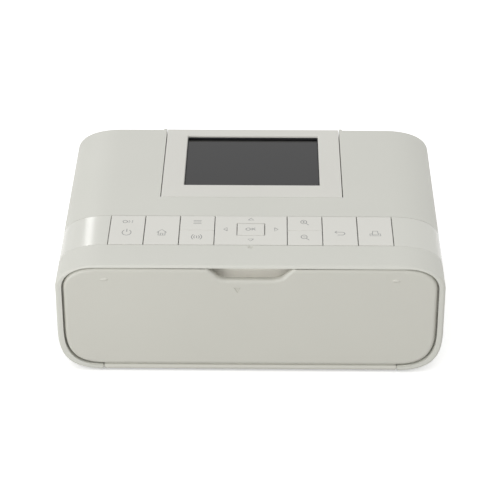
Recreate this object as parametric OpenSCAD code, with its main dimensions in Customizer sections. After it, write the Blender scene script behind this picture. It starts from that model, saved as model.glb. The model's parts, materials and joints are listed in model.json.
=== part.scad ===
// Compact dye-sublimation photo printer with a fold-down front door, a tilting screen,
// a row of keys, a side door for the ribbon cassette and the print mechanism inside.
// Frame: +Z up, front at -Y, origin at the middle of the footprint on the desk. Millimetres.

/* [Casing] */
// Width of the casing
body_w = 180.6; // [170:0.1:190]
// Depth from the front door to the back
body_d = 135.9; // [130:0.1:140]
// Height of the top at the back edge
body_h = 63.3; // [62:0.1:66]
// Fall of the top towards the front, in degrees
top_slope = 2.6; // [2:0.1:3]
// Wall thickness of the casing
wall = 2; // [1.8:0.1:2.2]
// Height of the feet under the casing
foot_h = 1.1; // [1:0.1:1.4]
// Gap between neighbouring covers
gap = 0.5; // [0.4:0.1:0.6]

/* [Front door] */
// Half width of the front door
door_half = 86.4; // [86:0.1:87]
// Height of the door's top edge
door_top = 55.3; // [55:0.1:56]
// Height of the door's lower edge above its hinge barrel
door_low = 4.2; // [4.1:0.1:4.6]
// Thickness of the door
door_t = 3; // [2.6:0.1:3.2]
// Half width of the hinge barrel
barrel_half = 68.7; // [60:0.1:70]

/* [Screen] */
// Half width of the tilting screen
screen_half = 44; // [42:0.5:46]
// Front edge of the screen, along the top
screen_front = -4.3; // [-6:0.1:-3]
// Thickness of the screen unit
screen_t = 7.6; // [7:0.1:7.8]
// Width of the visible picture
lcd_w = 66.6; // [60:0.1:70]
// Height of the visible picture
lcd_h = 51.8; // [46:0.1:52]
// Middle of the picture, along the top
lcd_mid = 33.9; // [32:0.1:34]

/* [Keys] */
// Back edge of the key row, along the top
keys_back = -22.7; // [-24:0.1:-21]
// Front edge of the key row, along the top
keys_front = -49.5; // [-51:0.1:-48]
// Width of one key tile with its gap
key_pitch = 16.5; // [16:0.1:17]
// Half width of the direction pad's place
pad_half = 17.1; // [16.5:0.1:18]
// Gap between key tiles
key_gap = 0.6; // [0.5:0.1:0.8]

/* [Print mechanism] */
// Radius of the platen roller
platen_r = 7; // [6.5:0.1:7]
// Length of the platen roller
platen_len = 104; // [102:0.5:104]
// Height of the paper path
paper_z = 30; // [30:0.1:30.2]
// Outer radius of the ribbon cassette's tubes
tube_r = 9.8; // [9.6:0.1:9.8]
// Module of the gears
gear_m = 0.8; // [0.8:0.1:0.8]

/* [Hidden] */
$fn = 48;

// Colours
shell_white = [0.82, 0.82, 0.80];
key_white = [0.85, 0.85, 0.83];
door_white = [0.79, 0.79, 0.76];
inner_grey = [0.55, 0.56, 0.56];
dark = [0.13, 0.13, 0.14];
steel = [0.72, 0.73, 0.75];
alloy = [0.80, 0.81, 0.82];
rubber = [0.20, 0.20, 0.21];
board_green = [0.10, 0.35, 0.22];
gear_white = [0.90, 0.89, 0.84];

// Casing places
front_y = -body_d / 2;
back_y = body_d / 2;
deck_z = body_h - back_y * tan(top_slope);
far = 200;

// ---- Helpers ----

// A drawing in (Y, Z), extruded along +X from x0
module along_x(x0, len) {
    translate([x0, 0, 0]) rotate([90, 0, 90]) linear_extrude(len) children();
}

// A drawing in (X, Z), extruded along +Y from y0
module along_y(y0, len) {
    translate([0, y0 + len, 0]) rotate([90, 0, 0]) linear_extrude(len) children();
}

// The sloping top: z = 0 on its surface, y along it, z up out of it
module on_deck() {
    translate([0, 0, deck_z]) rotate([top_slope, 0, 0]) children();
}

// A box from its lowest and its highest corner
module block(low, high) {
    translate(low) cube(high - low);
}

// A rod along X from x0 to x1 about the point p = [y, z]
module rod_x(x0, x1, p, r) {
    translate([x0, p[0], p[1]]) rotate([0, 90, 0]) cylinder(h = x1 - x0, r = r);
}

// Quarter of a rounded corner of half axes a and b, from the angle t0 to t1
function corner(cx, cz, a, b, t0, t1, n = 10, e = 2.3) = [
    for (i = [0:n])
        let (t = t0 + (t1 - t0) * i / n, c = cos(t), s = sin(t))
        [cx + a * sign(c) * pow(abs(c), 2 / e), cz + b * sign(s) * pow(abs(s), 2 / e)]];

function mirrored(points) = [for (i = [len(points) - 1:-1:0]) [-points[i][0], points[i][1]]];

// A point at the distance a from p and b from q, on the side given by 1 or -1
function between(p, q, a, b, side) =
    let (d = norm(q - p), u = (q - p) / d, x = (a * a - b * b + d * d) / (2 * d),
         h = sqrt(a * a - x * x))
    p + x * u + side * h * [-u[1], u[0]];

// ---- Casing outline ----
roof_a = 23.7;   // width of the top corners
roof_b = 12.3;   // height of the top corners
belly_a = 24;    // width of the bottom corners
belly_b = 23;    // height of the bottom corners
low_e = 3;       // squareness of the bottom corners

// Top and sides, seen along the slope, shrunk by d
function roof_side(d) = concat(
    [[body_w / 2 - d, -far]],
    corner(body_w / 2 - roof_a, -roof_b, roof_a - d, roof_b - d, 0, 90));

// Bottom and sides, seen from the front, shrunk by d
function belly_side(d) = concat(
    corner(body_w / 2 - belly_a, foot_h + belly_b, belly_a - d, belly_b - d, -90, 0, e = low_e),
    [[body_w / 2 - d, far]]);

module casing(d, y0, y1) {
    intersection() {
        on_deck() along_y(-far, 2 * far)
            polygon(concat(roof_side(d), mirrored(roof_side(d))));
        along_y(y0, y1 - y0) polygon(concat(belly_side(d), mirrored(belly_side(d))));
    }
}

// Front door outline, grown by g
door_top_a = 15.5;
door_top_b = 11;
door_low_a = 20.5;
door_low_b = 20.5;
function door_side(g) = concat(
    corner(door_half - door_low_a, door_low + door_low_b, door_low_a + g, door_low_b + g, -90, 0,
           e = low_e),
    corner(door_half - door_top_a, door_top - door_top_b, door_top_a + g, door_top_b + g, 0, 90));
module door_outline(g) {
    polygon(concat(door_side(g), mirrored(door_side(g))));
}

// ---- Places shared by several parts ----
hinge_y = front_y + 1.65;       // axis of the front door
hinge_z = 2.4;
barrel_r = 1.3;
door_pin_r = 0.7;
running = 0.05;                 // radial clearance of a running fit
seam_x = 69;                    // joint between top cover and base at the bottom
lip = 2.9;                      // top of the casing's floor

bay_half = 61;                  // paper cassette bay
bay_floor = 6;
bay_roof = 35;
bay_back = -14.5;

plate_x = 62;                   // inner faces of the chassis sides
plate_t = 1.2;
gear_x = 65;                    // inner face of the gears
gear_w = 4;

platen = [30, paper_z - platen_r];
capstan_r = 4;
capstan = [57, paper_z - capstan_r];
pinch_r = 3.4;
pinch = [57, paper_z + 0.3 + pinch_r];
motor = [10, 15.2];
motor_r = 9.4;
pickup = [-4, 33];
pickup_r = 8;
shaft_r = 2.5;
bush_r = 4.5;

teeth_platen = 16;
teeth_capstan = 18;
teeth_motor = 12;
teeth_a = 18;
teeth_b = 20;
teeth_c = 14;
teeth_pickup = 16;
teeth_ribbon = 29;
function mesh(z1, z2) = gear_m * (z1 + z2) / 2;
idler_a = between(motor, platen, mesh(teeth_motor, teeth_a), mesh(teeth_a, teeth_platen), 1);
idler_b = between(platen, capstan, mesh(teeth_platen, teeth_b), mesh(teeth_b, teeth_capstan), -1);
idler_c = between(idler_a, pickup, mesh(teeth_a, teeth_c), mesh(teeth_c, teeth_pickup), -1);

spool_z = paper_z + 0.2 + tube_r;
ribbon_reach = mesh(teeth_capstan, teeth_ribbon);
takeup = [capstan[0] - sqrt(pow(ribbon_reach, 2) - pow(spool_z - capstan[1], 2)), spool_z];
supply = [2 * platen[0] - takeup[0], spool_z];

// Angle of the line from p to q
function heading(p, q) = atan2(q[1] - p[1], q[0] - p[0]);
// Angle that puts gear 2 in mesh with gear 1, whose first tooth stands at phase1
function in_mesh(z1, phase1, al, z2) = al + 180 + (180 + z1 * (al - phase1)) / z2;
phase_platen = 0;
phase_a = in_mesh(teeth_platen, phase_platen, heading(platen, idler_a), teeth_a);
phase_b = in_mesh(teeth_platen, phase_platen, heading(platen, idler_b), teeth_b);
phase_motor = in_mesh(teeth_a, phase_a, heading(idler_a, motor), teeth_motor);
phase_c = in_mesh(teeth_a, phase_a, heading(idler_a, idler_c), teeth_c);
phase_pickup = in_mesh(teeth_c, phase_c, heading(idler_c, pickup), teeth_pickup);
phase_capstan = in_mesh(teeth_b, phase_b, heading(idler_b, capstan), teeth_capstan);
phase_ribbon = in_mesh(teeth_capstan, phase_capstan, heading(capstan, takeup), teeth_ribbon);

// Involute gear outline
pressure = 20;
backlash = 0.2;
function inv(a) = tan(a) * 180 / PI - a;
function half_tooth(z, r) =
    let (rp = gear_m * z / 2, rb = rp * cos(pressure))
    90 / z - backlash / 2 / rp * 180 / PI / 2 + inv(pressure) - inv(acos(min(1, rb / r)));
function tooth_radii(z) =
    let (rp = gear_m * z / 2, rb = rp * cos(pressure), foot = max(rb, rp - 1.2 * gear_m) + 0.02)
    [foot, (foot + rp) / 2, rp, rp + 0.4 * gear_m, rp + 0.75 * gear_m];
function ring_point(r, a) = [r * cos(a), r * sin(a)];
function gear_points(z, phase) =
    let (rf = gear_m * z / 2 - 1.2 * gear_m, rr = tooth_radii(z))
    [for (i = [0:z - 1])
        let (mid = phase + 360 * i / z)
        each concat(
            [ring_point(rf, mid - half_tooth(z, rr[0]) - 1)],
            [for (k = [0:len(rr) - 1]) ring_point(rr[k], mid - half_tooth(z, rr[k]))],
            [for (k = [len(rr) - 1:-1:0]) ring_point(rr[k], mid + half_tooth(z, rr[k]))],
            [ring_point(rf, mid + half_tooth(z, rr[0]) + 1)])];

// A spur gear on the left of the machine about p = [y, z], with a round bore
module gear(z, phase, p, bore_r) {
    difference() {
        union() {
            along_x(-gear_x - gear_w, gear_w)
                translate(p) polygon(gear_points(z, phase));
            rod_x(-gear_x - gear_w - 1, -gear_x + 0.8, p, bore_r + 1.2);
        }
        rod_x(-gear_x - gear_w - 2, -gear_x + 2, p, bore_r);
    }
}

// ---- Casing ----
strip_end = pad_half + 3 * key_pitch;   // where the blank ends of the key row start
strip_t = 1.2;                          // thickness of the strip where it wraps the corner
strip_low = 45;                         // lowest point of the strip's ends
strip_cut = strip_end + 1.6;
post_x = 66;
post_y = [-56, -16.5];
post_r = 2.6;
floor_screws = [[-50, -5], [50, -5], [-50, 60], [50, 60]];
screw_r = 1.2;
well_floor = -8.2;
well_t = 1.5;
well_half = screen_half + gap;
card_cut = [[86, -53.2, 26.4], [92, -27.3, 30]];
usb_cut = [[86, -24.2, 26.4], [92, -10.2, 33.2]];
ink_y = [-5.5, 62];             // ends of the ribbon door
ink_z = [22.6, 49.4];           // lower and upper edge of the ribbon door
ink_gap = 0.35;
ink_hinge = [89.1, 23.5];       // its axis, [x, z]
ink_pin_r = 0.6;
fan_mid = [-28, 34];
vent_w = 2;

module strip_ring(d0, d1, grow) {
    intersection() {
        difference() {
            casing(d0, front_y, back_y);
            casing(d1, -far, far);
        }
        on_deck() block([-far, keys_front - grow, -25], [far, keys_back + grow, 9]);
        union() {
            block([-far, -far, strip_low - grow], [-strip_end, far, far]);
            block([strip_end, -far, strip_low - grow], [far, far, far]);
        }
    }
}

module screen_well() {
    intersection() {
        casing(0.2, front_y, back_y);
        on_deck() difference() {
            block([-well_half - 1.6, screen_front - 2, well_floor - well_t],
                  [well_half + 1.6, far, 0]);
            block([-well_half, screen_front - 0.3, well_floor], [well_half, far, 9]);
        }
    }
}

module top_cover() {
    color(shell_white) difference() {
        union() {
            difference() {
                casing(0, front_y, back_y);
                casing(wall, front_y + door_t + 0.6, far);
                block([-seam_x, -far, -1], [seam_x, far, lip + 0.6]);
                block([-seam_x, -far, -1], [seam_x, front_y + door_t + 0.65, door_low]);
                along_y(front_y - 1, 1 + door_t + 0.65) door_outline(gap);
                // room for the door's lower edge as it swings, beside the hinge
                intersection() {
                    along_y(front_y - 1, 1.7) door_outline(gap + 0.5);
                    block([-75, -far, -far], [75, far, 8]);
                }
                on_deck() block([-well_half, screen_front - 0.3, -9], [well_half, far, 9]);
            }
            screen_well();
            intersection() {
                casing(wall / 2, front_y, back_y);
                for (x = [-post_x, post_x], y = post_y)
                    translate([x, y, lip + 1.8]) cylinder(h = far, r = post_r);
            }
        }
        on_deck() block([-strip_cut, keys_front - 0.1, -4], [strip_cut, keys_back + 0.1, 9]);
        strip_ring(-1, strip_t + 0.05, 0.12);
        for (s = [-1, 1]) rod_x(min(s * (seam_x - 1), s * 72.2), max(s * (seam_x - 1), s * 72.2),
                                [hinge_y, hinge_z], door_pin_r + running);
        for (x = [-post_x, post_x], y = post_y)
            translate([x, y, -1]) cylinder(h = 18, r = screw_r - 0.1);
        block(card_cut[0], card_cut[1]);
        block(usb_cut[0], usb_cut[1]);
        block([86, ink_y[0] - ink_gap, ink_z[0] - ink_gap],
              [92, ink_y[1] + ink_gap, ink_z[1] + ink_gap]);
        translate([ink_hinge[0], ink_y[0] - 1.6, ink_hinge[1]]) rotate([-90, 0, 0])
            cylinder(h = ink_y[1] - ink_y[0] + 3.2, r = ink_pin_r + running);
        for (i = [-3:3]) block([-92, fan_mid[0] + 3.6 * i - vent_w / 2, fan_mid[1] - 11],
                               [-86, fan_mid[0] + 3.6 * i + vent_w / 2, fan_mid[1] + 11]);
        for (s = [-1, 1]) on_deck() rod_x(min(s * 44, s * 45.6), max(s * 44, s * 45.6),
            screen_axis, screen_pin_r + running);
    }
}

module base_cover() {
    color(shell_white) difference() {
        union() {
            block([-seam_x + 0.2, front_y + 3.6, foot_h], [seam_x - 0.2, back_y - 0.6, lip]);
            for (s = [-1, 1])
                block([min(s * 67, s * 72.2), front_y + 8, lip + 0.5],
                      [max(s * 67, s * 72.2), back_y - 4, lip + 1.7]);
            for (s = [-1, 1]) block([min(s * 67, s * 68.8), front_y + 8, lip - 0.1],
                                    [max(s * 67, s * 68.8), back_y - 4, lip + 1]);
            for (p = floor_screws) translate([p[0], p[1], lip - 0.1]) cylinder(h = 1.4, r = 3.5);
        }
        for (p = floor_screws) screw_hole(p);
        for (x = [-post_x, post_x], y = post_y) screw_hole([x, y]);
    }
}

module screw_hole(p) {
    translate([p[0], p[1], 0]) {
        cylinder(h = 12, r = screw_r + 0.1);
        cylinder(h = foot_h + 0.9, r = 2.5);
    }
}

module case_screws() {
    color(steel) {
        for (p = floor_screws) screw([p[0], p[1]], 7.5);
        for (x = [-post_x, post_x], y = post_y) screw([x, y], 12);
    }
}

module screw(p, top) {
    translate([p[0], p[1], foot_h + 0.3]) difference() {
        union() {
            cylinder(h = top - foot_h - 0.3, r = screw_r - 0.1);
            cylinder(h = 0.6, r = 2.2);
        }
        for (a = [0, 90]) rotate([0, 0, a]) translate([-1.4, -0.25, -1]) cube([2.8, 0.5, 1.35]);
    }
}

module rubber_feet() {
    color(rubber) for (x = [-58, 58], y = [-54, 56])
        translate([x, y, 0]) cylinder(h = foot_h, r = 5);
}

slot_half = 53;                 // paper slot at the back
slot_z = [27.4, 32.8];
dc_mid = [-78.3, 19.5];

module rear_cover() {
    color(shell_white) difference() {
        casing(wall + 0.2, back_y - 2.4, back_y - 0.6);
        on_deck() block([-well_half - 1.8, 0, well_floor - well_t - 0.2],
                        [well_half + 1.8, far, far]);
        block([-slot_half, 0, slot_z[0]], [slot_half, far, slot_z[1]]);
        translate([dc_mid[0], far / 2, dc_mid[1]]) rotate([90, 0, 0]) cylinder(h = far / 2, r = 4.6);
        for (i = [0:8]) block([50 + 3.6 * i, 0, 38], [50 + 3.6 * i + vent_w, far, 48]);
        for (i = [0:11]) block([-20 + 3.6 * i, 0, 12], [-20 + 3.6 * i + vent_w, far, 22]);
    }
}

// Plate behind the front door, with the paper slot and the finger scoop
scoop_half = 22;
scoop_r = 4.2;
scoop_floor = 49.4;
module front_frame() {
    frame_y = front_y + door_t + 0.75;
    scoop = [frame_y, scoop_floor + scoop_r];
    color(shell_white) difference() {
        union() {
            casing(wall + 0.15, frame_y, frame_y + 1.6);
            intersection() {
                rod_x(-scoop_half - 1.2, scoop_half + 1.2, scoop, scoop_r + 1.2);
                casing(wall + 0.15, frame_y, front_y + 20);
            }
        }
        rod_x(-scoop_half, scoop_half, scoop, scoop_r);
        block([-scoop_half, frame_y - 1, scoop[1]], [scoop_half, frame_y + scoop_r, far]);
        block([-bay_half, frame_y - 1, bay_floor], [bay_half, frame_y + 3, bay_roof]);
    }
}

// ---- Front door ----
notch_top = 19.6;               // half width of the finger notch at the door's edge
notch_low = 12.8;               // half width at its bottom
notch_z = 50.1;
module front_door() {
    edge = 1;
    color(door_white) {
        difference() {
            union() {
                along_y(front_y + edge, door_t - edge) door_outline(0);
                along_y(front_y + edge / 2, edge) door_outline(-edge * 0.3);
                along_y(front_y, edge) door_outline(-edge);
            }
            along_y(front_y - 1, door_t + 2)
                polygon([[-notch_top, door_top + 1], [-notch_low, notch_z],
                         [notch_low, notch_z], [notch_top, door_top + 1]]);
        }
        block([-barrel_half, hinge_y, hinge_z], [barrel_half, front_y + door_t, door_low + 1]);
        rod_x(-barrel_half, barrel_half, [hinge_y, hinge_z], barrel_r);
        rod_x(-72, 72, [hinge_y, hinge_z], door_pin_r);
        for (s = [-1, 1]) translate([s * 67 - 2, front_y - 0.35, 49.6]) cube([4, 1, 0.8]);
    }
}

// ---- Screen unit, in the frame of the sloping top ----
screen_axis = [screen_front + 1, -1];
screen_pin_r = 0.6;
screen_back_y = back_y - 0.4;
screen_skin = 2;
module screen_frame() {
    color(shell_white) on_deck() difference() {
        union() {
            block([-screen_half, screen_front, -screen_t + 1.4], [screen_half, screen_back_y, -1]);
            block([-screen_half, screen_front + 1, -1.5], [screen_half, screen_back_y - 1, 0]);
            rod_x(-screen_half, screen_half, screen_axis, 1);
            rod_x(-screen_half, screen_half, [screen_back_y - 1, -1], 1);
        }
        block([-lcd_w / 2, lcd_mid - lcd_h / 2, -far], [lcd_w / 2, lcd_mid + lcd_h / 2, 9]);
        block([-screen_half + 1.6, screen_front + 3.4, -far],
              [screen_half - 1.6, screen_back_y - 1.8, -screen_skin]);
        for (s = [-1, 1]) rod_x(min(s * 38, s * 44.5), max(s * 38, s * 44.5),
                                screen_axis, screen_pin_r);
    }
}

module screen_back() {
    color(shell_white) on_deck()
        block([-screen_half, screen_front, -screen_t], [screen_half, screen_back_y, -screen_t + 1.4]);
}

module lcd_module() {
    color(dark) on_deck()
        block([-lcd_w / 2 - 4, lcd_mid - lcd_h / 2 - 3.5, -screen_t + 1.5],
              [lcd_w / 2 + 4, lcd_mid + lcd_h / 2 + 3, -screen_skin - 1]);
}

module screen_window() {
    color([0.1, 0.1, 0.1]) on_deck()
        block([-lcd_w / 2 - 2, lcd_mid - lcd_h / 2 - 2, -screen_skin - 1],
              [lcd_w / 2 + 2, lcd_mid + lcd_h / 2 + 2, -screen_skin]);
}

module screen_pins() {
    color(steel) on_deck() for (s = [-1, 1])
        rod_x(min(s * 38, s * 45.4), max(s * 38, s * 45.4), screen_axis, screen_pin_r);
}

// ---- Ribbon door on the right side ----
module ink_door() {
    inset = 0.35;
    door_x = [body_w / 2 - inset - 1.8, body_w / 2 - inset];
    mid = (door_x[0] + door_x[1]) / 2;
    color(shell_white) {
        block([door_x[0], ink_y[0], ink_hinge[1]], [door_x[1], ink_y[1], ink_z[1]]);
        translate([ink_hinge[0], ink_y[0], ink_hinge[1]]) rotate([-90, 0, 0])
            cylinder(h = ink_y[1] - ink_y[0], r = 0.85);
        translate([ink_hinge[0], ink_y[0] - 1.4, ink_hinge[1]]) rotate([-90, 0, 0])
            cylinder(h = ink_y[1] - ink_y[0] + 2.8, r = ink_pin_r);
        block([mid - 3.4, 26, ink_z[1] - 3.6], [mid, 34, ink_z[1] - 2]);
    }
}

// Lever beside the ribbon cassette that lets it out
lever_pivot = [3.5, 24.5];
module eject_lever() {
    lever_x = plate_x + plate_t + 0.4;
    color(inner_grey) {
        block([lever_x, 2, 26], [lever_x + 1.6, 5, 46]);
        rod_x(lever_x, lever_x + 1.6, lever_pivot, 2.6);
        rod_x(plate_x - 1, lever_x + 1, lever_pivot, 1.5);
        block([lever_x, 2, 43.6], [83, 4.6, 46]);
    }
}

// ---- Keys, in the frame of the sloping top ----
key_mid = (keys_back + keys_front) / 2;
key_top = 0.15;
key_low = -1.45;
stem_low = -3.1;
plate_top = -2.45;
plate_low = -3.45;
board_top = -5;
rocker_stem = 7;
rib_half = 7;                   // half length of a rocker's rib
rib_r = 0.5;
ok_mid = -35.2;
ok_size = [12.7, 10.5];
pad_stems = [[-12.3, key_mid], [12.3, key_mid], [0, keys_back - 3.2], [0, keys_front + 3.2]];

// Stem places of every key
function key_x(i) = pad_half + key_pitch * (i + 0.5);
stems = concat(
    [for (i = [1, 2]) each [[-key_x(i), key_mid], [key_x(i), key_mid]]],
    [for (s = [-1, 1], t = [-1, 1]) [s * key_x(0), key_mid + t * rocker_stem]],
    pad_stems, [[0, ok_mid]]);

module stem(p) {
    translate([p[0], p[1], stem_low]) cylinder(h = key_low - stem_low + 0.1, r = 1.6);
}

module key(x0, x1, places) {
    color(key_white) on_deck() {
        block([x0 + key_gap / 2, keys_front + 0.25, key_low], [x1 - key_gap / 2, keys_back - 0.25, key_top]);
        for (p = places) stem(p);
    }
}

// Round rib under a rocking key: it rolls on the plate, so its middle is the key's axis
module rocker_rib(x0, x1) {
    color(key_white) on_deck() rod_x(x0, x1, [key_mid, key_low], rib_r);
}

module power_key() {
    key(-key_x(2) - key_pitch / 2, -key_x(2) + key_pitch / 2, [[-key_x(2), key_mid]]);
}

module home_key() {
    key(-key_x(1) - key_pitch / 2, -key_x(1) + key_pitch / 2, [[-key_x(1), key_mid]]);
}

module menu_key() {
    key(-key_x(0) - key_pitch / 2, -pad_half,
        [[-key_x(0), key_mid - rocker_stem], [-key_x(0), key_mid + rocker_stem]]);
    rocker_rib(-key_x(0) - rib_half, -key_x(0) + rib_half);
}

module zoom_key() {
    key(pad_half, key_x(0) + key_pitch / 2,
        [[key_x(0), key_mid - rocker_stem], [key_x(0), key_mid + rocker_stem]]);
    rocker_rib(key_x(0) - rib_half, key_x(0) + rib_half);
}

module back_key() {
    key(key_x(1) - key_pitch / 2, key_x(1) + key_pitch / 2, [[key_x(1), key_mid]]);
}

module print_key() {
    key(key_x(2) - key_pitch / 2, key_x(2) + key_pitch / 2, [[key_x(2), key_mid]]);
}

module direction_key() {
    rim = 0.45;
    difference() {
        key(-pad_half, pad_half, pad_stems);
        on_deck() block([-ok_size[0] / 2 - rim, ok_mid - ok_size[1] / 2 - rim, -9],
                        [ok_size[0] / 2 + rim, ok_mid + ok_size[1] / 2 + rim, 9]);
    }
    for (s = [-1, 1]) rocker_rib(s * 12.3 - 4, s * 12.3 + 4);
}

module ok_key() {
    color(key_white) on_deck() {
        block([-ok_size[0] / 2, ok_mid - ok_size[1] / 2, key_low],
              [ok_size[0] / 2, ok_mid + ok_size[1] / 2, key_top + 0.1]);
        stem([0, ok_mid]);
    }
}

module control_strip() {
    color(key_white) difference() {
        union() {
            strip_ring(0, strip_t, 0);
            on_deck() block([-74, keys_front - 3, plate_low], [74, keys_back + 3, plate_top]);
            for (s = [-1, 1]) on_deck()
                block([min(s * strip_end, s * (strip_cut - 0.1)), keys_front, plate_low],
                      [max(s * strip_end, s * (strip_cut - 0.1)), keys_back, -0.4]);
            for (x = [-71, 71], y = [keys_front + 2, keys_back - 2]) on_deck()
                translate([x, y, board_top]) cylinder(h = -board_top + plate_top - 0.5, r = 2.2);
        }
        on_deck() for (p = stems) translate([p[0], p[1], -4]) cylinder(h = 3, r = 2.1);
    }
}

module key_domes() {
    color([0.75, 0.75, 0.73]) on_deck() {
        block([-66, keys_front + 0.6, board_top], [66, keys_back - 0.6, board_top + 0.5]);
        for (p = stems) translate([p[0], p[1], board_top + 0.4]) cylinder(h = 0.95, r1 = 3, r2 = 1.7);
    }
}

module key_board() {
    color(board_green) on_deck()
        block([-73.5, keys_front, board_top - 1.6], [73.5, keys_back, board_top]);
}

// ---- Inside ----
module bay_frame() {
    color(inner_grey) {
        along_y(front_y + 5.4, bay_back - front_y - 5.4) difference() {
            translate([-bay_half - 1.6, lip + 0.1])
                square([2 * bay_half + 3.2, bay_roof + 1.5 - lip - 0.1]);
            translate([-bay_half, bay_floor]) square([2 * bay_half, bay_roof - bay_floor]);
            translate([-bay_half + 4, 0]) square([2 * bay_half - 8, bay_floor - 1.4]);
        }
        for (x = [-52, 52], y = [-55, -20])
            translate([x, y, bay_roof + 1]) cylinder(h = 3, r = 2.5);
        for (y = [-52, -40]) block([bay_half, y, 23.4], [84, y + 4, 25.4]);
    }
}

board_z = bay_roof + 4;
module main_board() {
    color(board_green) {
        block([-57, -60, board_z], [57, -10.5, board_z + 1.6]);
        block([-12, -44, board_z + 1.5], [8, -24, board_z + 3.2]);
        block([18, -40, board_z + 1.5], [30, -30, board_z + 2.8]);
        block([-40, -52, board_z + 1.5], [-24, -40, board_z + 4]);
        for (x = [36, 46]) translate([x, -22, board_z + 1.5]) cylinder(h = 5.4, r = 3.5);
    }
}

module card_board() {
    color(board_green) block([69.5, -56, 25.4], [86.4, -8.5, 26.6]);
}

module card_socket() {
    color(steel) difference() {
        block([72, -53, 26.6], [88.2, -27.5, 29.8]);
        block([73, -52, 27.4], [89, -28.5, 29.3]);
    }
}

module usb_socket() {
    color(steel) {
        difference() {
            block([74, -24, 26.6], [88.2, -10.4, 33]);
            block([75.5, -23.4, 27.2], [89, -11, 32.4]);
        }
        block([75, -22, 30.6], [86.5, -12.4, 31.8]);
    }
}

module power_board() {
    color(board_green) {
        block([-72.6, 22, lip + 1.9], [-71.4, back_y - 3, 46]);
        translate([-72.5, 32, 34]) rotate([0, -90, 0]) cylinder(h = 11, r = 4);
        translate([-72.5, 44, 34]) rotate([0, -90, 0]) cylinder(h = 11, r = 4);
    }
}

module dc_socket() {
    nose = back_y - 2.5;
    color(dark) difference() {
        union() {
            block([-84, 53, dc_mid[1] - 5.5], [-72.6, nose, dc_mid[1] + 5.5]);
            translate([dc_mid[0], nose - 1, dc_mid[1]]) rotate([-90, 0, 0]) cylinder(h = 2.6, r = 4.3);
        }
        translate([dc_mid[0], 58, dc_mid[1]]) rotate([-90, 0, 0]) difference() {
            cylinder(h = 20, r = 2.9);
            translate([0, 0, -1]) cylinder(h = 9.5, r = 0.9);
        }
    }
}

fan_x = [-87.2, -79.2];
fan_half = 14;
module fan_frame() {
    mid = fan_mid;
    color(dark) difference() {
        union() {
            difference() {
                intersection() {
                    block([fan_x[0], mid[0] - fan_half, mid[1] - fan_half],
                          [fan_x[1], mid[0] + fan_half, mid[1] + fan_half]);
                    rod_x(fan_x[0], fan_x[1], mid, fan_half * 1.32);
                }
                rod_x(fan_x[0] - 1, fan_x[1] + 1, mid, fan_half - 1);
            }
            rod_x(fan_x[1] - 1.2, fan_x[1], mid, 5);
            for (a = [90, 210, 330])
                translate([fan_x[1] - 1.2, mid[0], mid[1]]) rotate([a, 0, 0])
                    translate([0, -0.8, 0]) cube([1.2, 1.6, fan_half - 0.5]);
        }
        rod_x(fan_x[1] - 2, fan_x[1] + 1, mid, 1 + running);
    }
}

module fan_rotor() {
    hub_x = [fan_x[0] + 1, fan_x[1] - 1.6];
    color(dark) {
        rod_x(hub_x[0], hub_x[1], fan_mid, 5);
        rod_x(hub_x[1] - 1, fan_x[1] - 0.2, fan_mid, 1);
        for (k = [0:6]) translate([(hub_x[0] + hub_x[1]) / 2, fan_mid[0], fan_mid[1]])
            rotate([k * 360 / 7, 0, 0]) translate([0, 0, 4.4]) rotate([0, 0, 50])
                translate([-2.9, -0.4, 0]) cube([5.8, 0.8, 7.6]);
    }
}

side_top = 54;
module side_plate(x0) {
    along_x(x0, plate_t) difference() {
        translate([-12, 4.2]) square([back_y - 3.4 + 12, side_top - 4.2]);
        for (p = [platen, capstan, pickup]) translate(p) circle(r = bush_r);
        translate(pinch) circle(r = 1.5 + running);
        translate([28.2, 35.4]) square([4, 7]);
        children();
    }
}

module chassis() {
    color(steel) difference() {
        union() {
            block([-plate_x - plate_t, -12, 4.2], [plate_x + plate_t, back_y - 3.4, 5.4]);
            side_plate(-plate_x - plate_t) {
                translate(takeup) circle(r = 2.6);
                translate(motor) circle(r = 3);
            }
            side_plate(plate_x) {
                difference() {
                    union() {
                        for (p = [supply, takeup]) translate(p) circle(r = tube_r + 0.5);
                        translate([supply[0], spool_z - tube_r - 0.5])
                            square([takeup[0] - supply[0], 2 * tube_r + 1]);
                    }
                    translate([26.9, 33]) square([6.6, 30]);
                }
                translate(lever_pivot) circle(r = 1.5 + running);
            }
            for (p = [idler_a, idler_b, idler_c])
                rod_x(-gear_x - gear_w - 1.6, -plate_x - plate_t / 2, p, 2);
        }
        for (p = floor_screws) translate([p[0], p[1], 3]) cylinder(h = 4, r = screw_r + 0.1);
    }
}

module shaft_bushes() {
    color([0.75, 0.6, 0.3]) for (p = [platen, capstan, pickup], s = [-1, 1]) difference() {
        union() {
            rod_x(min(s * (plate_x - 0.8), s * (plate_x + plate_t + 0.3)),
                  max(s * (plate_x - 0.8), s * (plate_x + plate_t + 0.3)), p, bush_r);
            rod_x(min(s * (plate_x - 0.8), s * plate_x), max(s * (plate_x - 0.8), s * plate_x),
                  p, bush_r + 0.8);
        }
        rod_x(-far, far, p, shaft_r + running);
    }
}

module paper_guide() {
    guide_half = 60;
    color(inner_grey) difference() {
        union() {
            along_x(-guide_half, 2 * guide_half) {
                polygon([[-11, 21], [18, 26.4], [21.6, 28.2], [21.6, 29.4], [18, 27.7], [-11, 22.3]]);
                polygon([[38.2, 28.4], [52, 28.4], [52, 29.6], [38.2, 29.6]]);
            }
            for (s = [-1, 1]) along_x(s > 0 ? guide_half - 2 : -guide_half, 2) {
                polygon([[-11, 5.4], [51, 5.4], [51, 8], [-11, 8]]);
                polygon([[-11, 5.4], [-7, 5.4], [-7, 22.8], [-11, 22]]);
                polygon([[46, 5.4], [50, 5.4], [50, 29], [46, 29]]);
            }
        }
        rod_x(-far, -plate_x + 26.2, motor, motor_r + 0.6);
    }
}

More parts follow.
